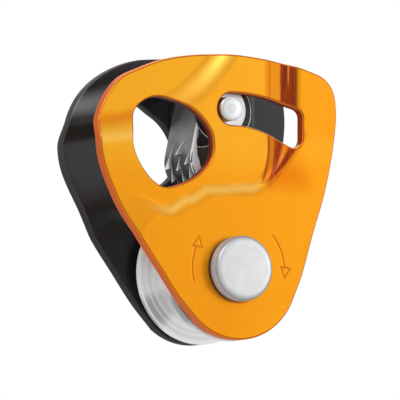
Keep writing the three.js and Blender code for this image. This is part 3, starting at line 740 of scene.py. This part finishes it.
# The rear plate's flanks are cut back a little and its upper left corner stands higher
def plateOutline(rear):
    s, r = read(plateSizes), read(rearSizes)
    flanks = []
    for x, z in flankShares:
        spot = [s.width * x, s.rise * z]
        if rear and x > 0.25:
            spot[0] -= r.flankTrim
        if rear and x < 0 and z < 0.3:
            spot[0] += r.heelTrim
        if rear and x < 0:
            spot[1] += r.crown * max(0, 1 - abs(z - r.crownShare) / r.crownSpread)
        flanks.append(spot)
    start = 232 if rear else 222
    apex = arcPoints(s.apex, start * degree, 338 * degree, 64, 0, -s.apexDrop)
    line = smoothLine([apex[-1], *flanks, apex[0]], s.perPoint, False)
    return np.concatenate([apex, line[1:-1]])


def eyeOutline(grow, pinch):
    s = read(eyeSizes)
    heading = s.growHeading * degree
    points = []
    for x, z in eyeShares:
        push = grow * float(ramp((x - z - 0.5) / 0.3))
        wide = s.width * x * (1 - pinch if x < 0 else 1)
        points.append((s.x + wide + push * math.cos(heading),
                       s.z + s.height * z + push * math.sin(heading)))
    return smoothLine(points, s.perPoint, True)


# Round at the axle tip, upright with round corners at the far end, its lower edge falling away
def slotOutline():
    s = read(slotSizes)
    middle = math.hypot(*pivot)
    half, corner, lowRadius = s.width / 2, s.corner, s.lowRadius
    outer, lowZ = middle + half, middle - half - lowRadius
    start = math.atan2(*reversed(pivot)) - (half - s.tipRadius - s.tipSideGap) / middle
    ax = s.end - corner
    az = math.sqrt((outer - corner) ** 2 - ax ** 2)
    bz = lowZ + math.sqrt((lowRadius + corner) ** 2 - ax ** 2)
    a, b = math.atan2(az, ax), math.atan2(bz - lowZ, ax)
    c = middle * np.array([math.cos(start), math.sin(start)])
    d = (middle - half) * np.array([math.cos(start), math.sin(start)])
    return np.concatenate([
        arcPoints(outer, a, start, 26),
        arcPoints(half, start, start + math.pi, 28, *c)[1:-1],
        arcPoints(lowRadius, math.atan2(d[1] - lowZ, d[0]), b, 24, 0, lowZ),
        arcPoints(corner, b - math.pi, 0, 12, ax, bz)[1:],
        arcPoints(corner, 0, a, 10, ax, az)[:-1],
    ])


# A smooth line of heights through the wave's points
def waveHeight(x):
    s = read(plateSizes)
    xs = np.array([a for a, _ in waveShares]) * s.width
    zs = np.array([b for _, b in waveShares]) * s.rise
    slopes = np.gradient(zs, xs)
    slopes[0] = slopes[-1] = 0
    x = np.clip(x, xs[0], xs[-1])
    i = np.clip(np.searchsorted(xs, x, 'right') - 1, 0, len(xs) - 2)
    h = xs[i + 1] - xs[i]
    t = (x - xs[i]) / h
    return (zs[i] * (1 + 2 * t) * (1 - t) ** 2 + zs[i + 1] * t * t * (3 - 2 * t)
            + h * (slopes[i] * t * (1 - t) ** 2 - slopes[i + 1] * t * t * (1 - t)))


def foldAt(z):
    s = read(plateSizes)
    below = np.maximum(0, (s.foldBend - z) / (s.foldBend - s.waveLow))
    return s.foldLine - s.foldDrop * np.minimum(1, below * below)


def reliefAt(x, z):
    s = read(plateSizes)
    soft = s.waveSoft + s.waveFade * ramp((s.fadeFrom - x) / s.fadeOver)
    pressed = ramp((z - waveHeight(x)) / soft) * ramp((foldAt(z) - x) / s.foldSoft)
    corner = ramp((s.bendRadius - np.hypot(x - s.bendX, z - s.bendZ)) / s.eyeSoft)
    return pressed * (s.recess + s.eyeSink * corner)


# One pressed plate: both faces, and walls with rounded edges; wall runs from 0 on a face to 1 on a wall
def sidePlate(name, side, outline, holes, look, settings):
    s = read(plateSizes)
    face, soft, turns = settings['face'], settings['edge'], settings['turns']
    loops = [outline, *holes]
    signs = [-1] + [1] * len(holes)  # which way the material lies from each loop
    quarter = [k / turns * math.pi / 2 for k in range(1, turns + 1)]
    front = [(soft * (1 - math.sin(a)), soft * (1 - math.cos(a)), a / (math.pi / 2)) for a in quarter]
    insets = front + [(inset, s.thick - depth, share) for inset, depth, share in reversed(front)]
    inner = [loop + sign * soft * loopNormals(loop) for loop, sign in zip(loops, signs)]
    flat, triangles, origin = fillRegion(inner[0], inner[1:], s.spacing)
    order = {}
    for k, sources in enumerate(origin):
        for source in sources:
            order[source] = k
    reach = 0.05
    rx = (reliefAt(flat[:, 0] + reach, flat[:, 1]) - reliefAt(flat[:, 0] - reach, flat[:, 1])) / (2 * reach)
    rz = (reliefAt(flat[:, 0], flat[:, 1] + reach) - reliefAt(flat[:, 0], flat[:, 1] - reach)) / (2 * reach)
    outward = unit(np.stack([rx, np.full(len(rx), -side), rz], 1))
    relief = reliefAt(flat[:, 0], flat[:, 1])
    n = len(flat)
    points = [np.stack([flat[:, 0], face + side * relief, flat[:, 1]], 1),
              np.stack([flat[:, 0], face + side * (relief + s.thick), flat[:, 1]], 1)]
    normals = [outward, -outward]
    wall, rim = [np.zeros(n), np.zeros(n)], [np.zeros(n), np.zeros(n)]
    faces = [tuple(t) for t in triangles] + [tuple(n + i for i in reversed(t)) for t in triangles]
    start, count = 0, 2 * n
    for loop, sign in zip(loops, signs):
        m = len(loop)
        ways = -sign * loopNormals(loop)  # out of the material
        brink = [order[start + i] for i in range(m)]
        rings = [brink]
        for inset, depth, share in insets:
            spots = loop - inset * ways
            heights = face + side * (reliefAt(spots[:, 0], spots[:, 1]) + depth)
            points.append(np.stack([spots[:, 0], heights, spots[:, 1]], 1))
            facing = outward[brink] if depth < s.thick / 2 else -outward[brink]
            flatWay = np.stack([ways[:, 0], np.zeros(m), ways[:, 1]], 1)
            turn = share * math.pi / 2
            normals.append(unit(flatWay * math.sin(turn) + facing * math.cos(turn)))
            wall.append(np.full(m, share))
            rim.append(np.full(m, float(sign > 0)))
            rings.append(list(range(count, count + m)))
            count += m
        rings.append([n + i for i in brink])
        for a, b in zip(rings, rings[1:]):
            faces += [(a[i], a[(i + 1) % m], b[(i + 1) % m], b[i]) for i in range(m)]
        start += m
    piece = newPiece(name, np.concatenate(points), faces, look)
    faceOutwards(piece)
    for label, values in (('wall', wall), ('rim', rim)):
        layer = piece.data.attributes.new(label, 'FLOAT', 'POINT')
        layer.data.foreach_set('value', np.concatenate(values))
    piece.data.normals_split_custom_set_from_vertices([tuple(v) for v in np.concatenate(normals)])
    place(piece, settings['body'], settings['slot'], name)
    piece.name = name + '_pressed'


def makePlates():
    gap = plateSizes['holeGap']
    axleHole = circlePoints(axleSizes['shaft'] + gap, steps=64)
    frontHoles = [eyeOutline(0, 0), slotOutline(), axleHole]
    sidePlate('front_side_plate', 1, plateOutline(False), frontHoles, orange, {
        'face': places['headHeight'], 'edge': 0.45, 'turns': 4,
        'slot': 'anodised_orange', 'body': 'front_plate',
    })
    sidePlate('rear_side_plate', -1, plateOutline(True), [
        eyeOutline(rearSizes['eyeGrow'], rearSizes['eyePinch']),
        circlePoints(axleSizes['tenon'] + gap, steps=48),
        circlePoints(camAxleSizes['shaft'] + gap, *pivot, 48),
        circlePoints(stopSizes['tenon'] + gap, stopSizes['x'], stopSizes['z'], 32),
    ], black, {
        'face': places['rearFace'], 'edge': 0.34, 'turns': 3, 'slot': 'anodised_black', 'body': 'frame',
    })


# Sheave with its groove, flanges and dished sides
sheaveSizes = {
    'groove': 9.25, 'arc': 5.6, 'sweep': 62, 'rim': 15.25, 'rimRound': 0.25, 'width': 13.4, 'frontExtra': 0.7,
    'rimWall': 0.75, 'dishDepth': 1.7, 'dishRim': 2.6, 'bore': 7.1, 'shoulder': 0.9, 'seat': 2.6,
}


# A profile given round the pulley's mid plane, moved to it
def fromMiddle(profile):
    return [(r, places['midPlane'] + y) for r, y in profile]


def makeSheave():
    s = read(sheaveSizes)
    half = s.width / 2
    hub, dish, lip = half - s.dishDepth, s.rim - s.dishRim, s.bore - s.shoulder
    sweep = s.sweep * degree
    groove = arcPoints(s.arc, math.pi + sweep, math.pi - sweep, 40, s.groove + s.arc, 0)

    def side(sign, extra):
        top, low, rounding = half + extra, half - s.rimWall, s.rimRound
        return [
            (s.rim - rounding, sign * low), (s.rim, sign * (low + rounding)),
            (s.rim, sign * (top - rounding)), (s.rim - rounding, sign * top),
            (dish, sign * top), (dish - s.dishDepth, sign * hub),
        ]
    profile = fromMiddle([
        *groove, *side(1, 0), (lip, hub), (lip, s.seat), (s.bore, s.seat), (s.bore, -hub),
        *reversed(side(-1, s.frontExtra)),
    ])
    turnedPiece('sheave', '_turned', 'sheave', 'turned_aluminium', sheaveAlloy, profile, 160, 0.09)


# Ball bearing inside the sheave; a seal's profile is [from its inner or outer edge, below its face]
bearingSizes = {
    'radius': 7, 'width': 5, 'ball': 1.1, 'count': 8, 'circle': 5.18, 'track': 1.18, 'land': 0.792,
    'bore': 3.55, 'seal': 0.35, 'gap': 0.1,
    'innerLip': [(0, 0.1), (0.15, 0), (0.4, 0.12)], 'outerLip': [(0.35, 0.12), (0.15, 0), (0, 0.08)],
}


def makeBearing():
    s = read(bearingSizes)
    half = s.width / 2
    tilt = math.acos(s.land / s.track)
    for name, back, side, body in (('bearing_outer_race', s.radius, 1, 'sheave'),
                                   ('bearing_inner_race', s.bore, -1, 'frame')):
        start = 0 if side > 0 else math.pi
        track = arcPoints(s.track, start - tilt, start + tilt, 16, s.circle, 0)
        land = s.circle + side * s.land
        end = side * half
        profile = [(land, -end), *track, (land, end), (back, end), (back, -end)]
        turnedPiece(name, '_ground', body, 'bearing_steel', bearing, fromMiddle(profile), 80, 0.06)
    profile = fromMiddle(arcPoints(s.ball, -math.pi / 2, math.pi / 2, 14))
    for i, (x, z) in enumerate(arcPoints(s.circle, 0, 2 * math.pi, s.count)[:-1]):
        name = f'bearing_ball_{i + 1}'
        turnedPiece(name, '_round', 'ball_set', 'bearing_steel', bearing, profile, 24, 0, x, z)
    low, high = s.circle - s.land + s.gap, s.circle + s.land - s.gap
    for name, sign in (('bearing_front_seal', -1), ('bearing_rear_seal', 1)):
        out = half - s.gap
        back = sign * (out - s.seal)
        profile = [(low, back), *[(low + a, sign * (out - b)) for a, b in s.innerLip],
                   *[(high - a, sign * (out - b)) for a, b in s.outerLip], (high, back)]
        turnedPiece(name, '_moulded', 'sheave', 'seal_rubber', rubber, fromMiddle(profile), 72, 0.04)
    frame['nodes']['bearing_ball_cage'].data.materials.clear()
    frame['nodes']['bearing_ball_cage'].data.materials.append(nylon.material)


# Axles, spacers, washers and the stop pin, as profiles of [radius, y]
axleSizes = {
    'shaft': 3.5, 'head': 7, 'headFace': 5.6, 'headBack': 3.0, 'shoulder': 1, 'tenon': 2.9,
    'tail': 5.6, 'tailHeight': 1.8, 'shoulderY': 23.3, 'tailY': 26.2,
}
camAxleSizes = {
    'tip': 2.66, 'tipY': 3.6, 'bevel': 0.35, 'collar': 5.4, 'collarY': 7.25, 'collarThick': 0.4,
    'shaft': 2.5, 'tailY': 24.85, 'tail': 3.6, 'tailWall': 0.35, 'tailHeight': 0.9,
}


def makeAxles():
    s = read(axleSizes)
    tailTop = s.tailY + s.tailHeight
    shoulder = [(s.headFace + (s.head - s.headFace) * c, s.shoulder * (1 - v))
                for c, v in arcPoints(1, math.pi / 2, 0, 12)]
    tail = arcPoints(s.tailHeight, 0, math.pi / 2, 12, s.tail - s.tailHeight, s.tailY)
    turnedPiece('sheave_axle', '_turned', 'frame', 'satin_steel', headSteel, [
        (0, 0), *shoulder, (s.head, s.headBack), (s.shaft, s.headBack),
        (s.shaft, s.shoulderY), (s.tenon, s.shoulderY), (s.tenon, s.tailY), *tail, (0, tailTop),
    ], 128, 0.08)

    s = read(camAxleSizes)
    collarBack, tailTop = s.collarY + s.collarThick, s.tailY + s.tailHeight
    bevel = [(s.tip - s.bevel * (1 - c), s.tipY + s.bevel * (1 - v))
             for c, v in arcPoints(1, math.pi / 2, 0, 6)]
    turnedPiece('cam_axle', '_turned', 'frame', 'satin_steel', camAxleSteel, [
        (0, s.tipY), *bevel, (s.tip, s.collarY), (s.collar, s.collarY),
        (s.collar, collarBack), (s.shaft, collarBack), (s.shaft, s.tailY), (s.tail, s.tailY),
        (s.tail, s.tailY + s.tailWall), (s.tail - s.tailHeight / 2, tailTop), (0, tailTop),
    ], 96, 0.06, *pivot)


ringPieces = [
    {'name': 'front_spacer', 'bore': 3.6, 'radius': 4.9, 'low': 5.9, 'high': 12.0},
    {'name': 'rear_spacer', 'bore': 3.6, 'radius': 4.9, 'low': 17.2, 'high': 23.3},
    {'name': 'cam_front_washer', 'bore': 2.6, 'radius': 6.7, 'low': 7.9, 'high': 8.5},
    {'name': 'cam_rear_washer', 'bore': 2.6, 'radius': 5.4, 'low': 20.7, 'high': 21.95},
]


def makeRings():
    for s in map(read, ringPieces):
        bore, radius, low, high = s.bore, s.radius, s.low, s.high
        profile = [(bore, low), (radius, low), (radius, high), (bore, high)]
        onPivot = 'washer' in s.name
        slot, look = ('black_nylon', nylon) if onPivot else ('satin_steel', spacerSteel)
        turnedPiece(s.name, '_turned', 'frame', slot, look, profile, 96, 0.1, *(pivot if onPivot else ()))


stopSizes = {
    'x': 5.1237, 'z': 41.6842, 'radius': 1.5, 'tenon': 1.2, 'low': 16.95, 'seat': 21.95, 'high': 24.75,
}


def makeStopPin():
    s = read(stopSizes)
    turnedPiece('cam_stop_pin', '_turned', 'frame', 'satin_steel', pinSteel, [
        (0, s.low), (s.radius, s.low), (s.radius, s.seat), (s.tenon, s.seat),
        (s.tenon, s.high), (0, s.high),
    ], 64, 0.12, s.x, s.z)


# Cam: cheeks, web, toothed toe and stop tab, cast in one
camSizes = {
    'front': 8.6, 'rear': 20.6, 'lean': 12.4, 'cheek': 7, 'cheekShift': 0.6, 'cheekThick': 1.5,
    'reach': 5.1, 'top': 2.5, 'drop': 10.6, 'thin': 0.8, 'toe': 2.2, 'thickenAt': 10, 'thickenOver': 7,
    'bend': 6.5, 'toeReach': 2.4, 'bore': 2.6,
    'tabFrom': 5.6, 'tabTo': 10.6, 'tabSweep': 16, 'tabStart': 71.21, 'tabLow': 17.6, 'tabHigh': 19.3,
    'worn': 0.22, 'wornFrom': 0.3, 'wornAcross': 0.55,
    'weld': 0.004, 'sharp': 24, 'skinDepth': 0.12, 'shadeSharp': 30,
}
toothSizes = {
    'pitch': 3, 'length': 2.9, 'width': 3.4, 'height': 1.1, 'overhang': 0.4, 'root': 0.4, 'skew': 0.7,
    'shift': 0.8, 'columns': 4, 'rows': 4, 'first': 9.9, 'middleLead': 2.1,
    'spurLead': 1.9, 'spurLength': 5.2, 'spurHeight': 1.7,
}


def camSkin(along, lift):
    s = read(camSizes)
    full = math.pi / 2 + s.lean * degree
    turn = min(full, max(0, (along - s.drop) / s.bend))
    angle = math.pi + turn
    x = s.bend - s.reach + (s.bend + lift) * math.cos(angle)
    z = -s.drop + (s.bend + lift) * math.sin(angle)
    straight = along - s.drop if along < s.drop else max(0, along - s.drop - s.bend * full)
    return np.array([x + straight * math.sin(turn), z - straight * math.cos(turn)])


def camTooth(along, column, length, height):
    s = read(toothSizes)
    y = places['midPlane'] - s.shift + (column - 1) * s.columns
    half, skew, root = s.width / 2, s.skew, s.root

    def at(further, lift, across):
        x, z = camSkin(along + further, lift)
        return (x, y + across, z)
    corners = [
        at(0, -root, -half / 2 - skew), at(0, -root, half / 2 - skew), at(length, -root, half),
        at(length, -root, -half), at(length + s.overhang, height, 0), at(0, 0, -skew),
    ]
    return corners, [(0, 1, 2), (0, 2, 3), (3, 2, 4), (0, 3, 4), (0, 4, 5), (1, 5, 4), (1, 4, 2), (0, 5, 1)]


# How far a point stands off the toothed skin of the web
def camLift(spot):
    s = read(camSizes)
    if spot.z > -s.drop:
        return -s.reach - spot.x
    return math.hypot(spot.x - s.bend + s.reach, spot.z + s.drop) - s.bend


def webThickness(along):
    s = read(camSizes)
    return s.thin + (s.toe - s.thin) * float(ramp((along - s.thickenAt) / s.thickenOver))


# 1 on the toothed skin, 0.5 on the cut side of the sheet, 0 on everything behind it
def camZone(spot):
    s = read(camSizes)
    lift = camLift(spot)
    down = s.bend * math.pi / 2 + s.drop if spot.z < -s.drop else -spot.z
    if lift > -s.skinDepth:
        return 1.0
    return 0.5 if lift > -webThickness(down) - 0.05 and spot.z < s.top else 0.0


def camShapes():
    s, t = read(camSizes), read(toothSizes)
    full = s.drop + s.bend * (math.pi / 2 + s.lean * degree)
    stations = [-s.top, *np.linspace(s.drop * 0.3, full, 48), full + s.toeReach]
    web = np.array([camSkin(a, 0) for a in stations] + [camSkin(a, -webThickness(a)) for a in stations[::-1]])
    edge = math.pi - math.acos((s.reach + s.cheekShift) / s.cheek)
    cheek = arcPoints(s.cheek, -edge, edge, 80, s.cheekShift, 0)
    hole = circlePoints(s.bore, steps=64)
    tabStart, tabEnd = s.tabStart * degree, (s.tabStart + s.tabSweep) * degree
    tab = np.concatenate([arcPoints(s.tabFrom, tabEnd, tabStart, 6),
                          arcPoints(s.tabTo, tabStart, tabEnd, 12)])
    shapes = [
        slabShape(web, s.front, s.rear),
        slabShape(cheek, s.front, s.front + s.cheekThick, [hole]),
        slabShape(cheek, s.rear - s.cheekThick, s.rear, [hole]),
        slabShape(tab, s.tabLow, s.tabHigh),
    ]
    for column, extra in enumerate((0, 1, 0)):
        first = t.first - extra * t.middleLead
        for row in range(t.rows + extra):
            shapes.append(camTooth(first + row * t.pitch, column, t.length, t.height))
    shapes.append(camTooth(t.first - t.spurLead, 2, t.spurLength, t.spurHeight))
    return shapes


# One mesh out of overlapping shapes, left in mm
def joinShapes(shapes):
    others = bpy.data.collections.new('camShapes')
    rough = None
    for points, faces in shapes:
        piece = newPiece('camShape', np.array(points) / mm, faces, cast)
        faceOutwards(piece)
        if rough:
            scene.collection.objects.unlink(piece)
            others.objects.link(piece)
        else:
            rough = piece
    join = rough.modifiers.new('join', 'BOOLEAN')
    join.operation, join.solver, join.operand_type, join.collection = 'UNION', 'EXACT', 'COLLECTION', others
    mesh = bpy.data.meshes.new_from_object(rough.evaluated_get(bpy.context.evaluated_depsgraph_get()))
    for piece in [rough, *others.objects]:
        bpy.data.objects.remove(piece)
    return mesh


def joinSlivers(work):
    bmesh.ops.remove_doubles(work, verts=work.verts, dist=camSizes['weld'])
    bmesh.ops.dissolve_degenerate(work, edges=work.edges, dist=camSizes['weld'])


# Rounds the long outer edges that rope and handling wear, without those across a tooth's back
def wearEdges(work, worn):
    s = read(camSizes)
    ridges = []
    for edge in work.edges:
        length = edge.calc_length()
        across = abs(edge.verts[0].co.y - edge.verts[1].co.y)
        if len(edge.link_faces) == 2 and length > s.wornFrom and across < length * s.wornAcross:
            if edge.calc_face_angle_signed(0) > s.sharp * degree:
                ridges.append(edge)
    made = bmesh.ops.bevel(work, geom=ridges, offset=s.worn, segments=2, profile=0.5, affect='EDGES',
                           clamp_overlap=False)
    # mark the rounded faces, which the cast look paints with a painted highlight
    for face in made['faces']:
        face[worn] = 1.0
    joinSlivers(work)
    stray = [face for face in work.faces if all(len(edge.link_faces) < 2 for edge in face.edges)]
    bmesh.ops.delete(work, geom=stray, context='FACES')
    bmesh.ops.delete(work, geom=[edge for edge in work.edges if not edge.link_faces], context='EDGES')


def makeCam():
    s = read(camSizes)
    mesh = joinShapes(camShapes())
    work = bmesh.new()
    work.from_mesh(mesh)
    joinSlivers(work)
    worn = work.faces.layers.float.new('worn')
    skin = work.faces.layers.float.new('skin')
    lift = work.verts.layers.float.new('lift')
    wearEdges(work, worn)
    for face in work.faces:
        face.smooth = True
        face[skin] = camZone(face.calc_center_median())
    for vert in work.verts:
        vert[lift] = camLift(vert.co)
    work.to_mesh(mesh)
    work.free()
    moved = Matrix.Translation(Vector((pivot[0], 0, pivot[1])))
    mesh.transform(Matrix.Scale(mm, 4) @ moved @ Matrix.Rotation(s.lean * degree, 4, 'Y'))
    mesh.set_sharp_from_angle(angle=s.shadeSharp * degree)
    mesh.materials.clear()
    mesh.materials.append(cast.material)
    piece = bpy.data.objects.new('cam_cast', mesh)
    scene.collection.objects.link(piece)
    place(piece, 'cam', 'cast_steel', 'cam')
    print('cam:', len(mesh.polygons), 'faces')


# Torsion spring: a leg on the stop pin, the coil, and a leg inside the cam's web
springSizes = {
    'radius': 3.4, 'wire': 0.8, 'turns': 4, 'stopAngle': 48, 'stopReach': 9.6, 'seat': 0.3, 'camLeg': 7,
    'pinExtra': 1.6, 'rear': 18.4, 'front': 10.8, 'sides': 14, 'perTurn': 48, 'endShare': 0.75, 'sharp': 60,
}


def makeSpring():
    s = read(springSizes)
    offset = s.radius + stopSizes['radius'] + s.wire / 2 + s.seat
    start = s.stopAngle * degree - math.asin(offset / s.stopReach) + math.pi / 2
    end = math.pi - camSizes['lean'] * degree + 2 * math.pi * s.turns
    pinLeg = math.sqrt(s.stopReach ** 2 - offset ** 2) + s.pinExtra
    coil = s.radius * (end - start)
    total = pinLeg + coil + s.camLeg
    steps = int(total / (2 * math.pi * s.radius) * s.perTurn)
    u = np.linspace(0, total, steps + 1)
    turn = np.clip((u - pinLeg) / coil, 0, 1)
    angle, straight = start + turn * (end - start), u - pinLeg - turn * coil
    line = np.stack([
        pivot[0] + s.radius * np.cos(angle) - straight * np.sin(angle),
        s.rear + (s.front - s.rear) * turn,
        pivot[1] + s.radius * np.sin(angle) + straight * np.cos(angle),
    ], 1)
    way = unit(np.gradient(line, axis=0))
    sideways = unit(np.cross(way, (0, 1, 0)))
    upward = np.cross(sideways, way)
    n = s.sides
    points = []
    for k, spot in enumerate(line):
        radius = s.wire / 2 * (s.endShare if k in (0, steps) else 1)
        for a, b in arcPoints(radius, 0, 2 * math.pi, n)[:-1]:
            points.append(spot + a * sideways[k] + b * upward[k])
    faces = tubeFaces(steps + 1, n, False)
    faces += [tuple(range(n)), tuple(steps * n + i for i in reversed(range(n)))]
    piece = newPiece('cam_spring_wound', points, faces, spring)
    faceOutwards(piece, turnedSizes['weld'])
    piece.data.set_sharp_from_angle(angle=s.sharp * degree)
    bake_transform(piece)
    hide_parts('cam_spring')


# Studio: white world, a pale floor and soft lamps, in m
studioSettings = {
    'floorZ': -0.2, 'floorSize': 3.0, 'floorGlow': 0.25, 'aim': (0, 0.014, 0.016),
    'ambient': 0.55, 'mirrorLow': 0.45, 'mirrorEdge': 0.35,
}
lamps = [
    {'name': 'key', 'spot': (-0.55, -0.75, 0.75), 'size': 0.5, 'power': 3.2},
    {'name': 'fill', 'spot': (0.8, -0.7, 0.1), 'size': 0.6, 'power': 1.6},
    {'name': 'rim', 'spot': (0.1, 0.7, 0.8), 'size': 0.5, 'power': 2.0},
]


def makeStudio():
    s = read(studioSettings)
    white, dark, glow = (1, 1, 1, 1), (0, 0, 0, 1), (*[s.floorGlow] * 3, 1)
    scene.world = bpy.data.worlds.new('studio')
    scene.world.use_nodes = True
    # seen straight on the world is white; in mirrors it's darker below the horizon
    sky = Nodes(scene.world.node_tree, 'Background', {'Color': white})
    height = sky.split(sky.add('TexCoord', out='Generated'))[2]
    shade = sky.rise(height, -s.mirrorEdge, s.mirrorEdge, s.mirrorLow)
    rays = 'Camera', 'Glossy', 'Transmission'
    seen, glossy, through = [sky.add('LightPath', out=f'Is {ray} Ray') for ray in rays]
    mirror = sky.add('Mix', {}, {0: glossy, 2: s.ambient, 3: shade})
    sky.feed('Strength', sky.add('Mix', {}, {0: sky.larger(seen, through), 2: mirror, 3: 1.0}))

    for lamp in lamps:
        data = bpy.data.lights.new(lamp['name'], 'AREA')
        data.shape, data.size, data.energy = 'DISK', lamp['size'], lamp['power']
        light = bpy.data.objects.new(lamp['name'], data)
        light.location = lamp['spot']
        light.rotation_euler = (Vector(s.aim) - Vector(lamp['spot'])).to_track_quat('-Z', 'Y').to_euler()
        scene.collection.objects.link(light)

    pale = tint(250, 250, 250)
    paint = Look('floorPaint', {'Base Color': pale, 'Roughness': 0.8, 'Emission Strength': 1.0})
    paint.feed('Base Color', paint.mix(paint.noise(paint.point(), 0.01, 2.0), pale, white))
    paint.feed('Emission Color', paint.mix(paint.add('LightPath', out='Is Camera Ray'), dark, glow))
    h, low = s.floorSize / 2 / mm, s.floorZ / mm
    floor = newPiece('floor', [(-h, -h, low), (h, -h, low), (h, h, low), (-h, h, low)], [(0, 1, 2, 3)], paint)


scene.view_settings.view_transform = 'Standard'
print('camera and studio')
makeCamera()
makeStudio()
print('plates')
makePlates()
print('sheave and bearing')
makeSheave()
makeBearing()
print('axles, spacers, washers and stop pin')
makeAxles()
makeRings()
makeStopPin()
print('cam and spring')
makeCam()
makeSpring()
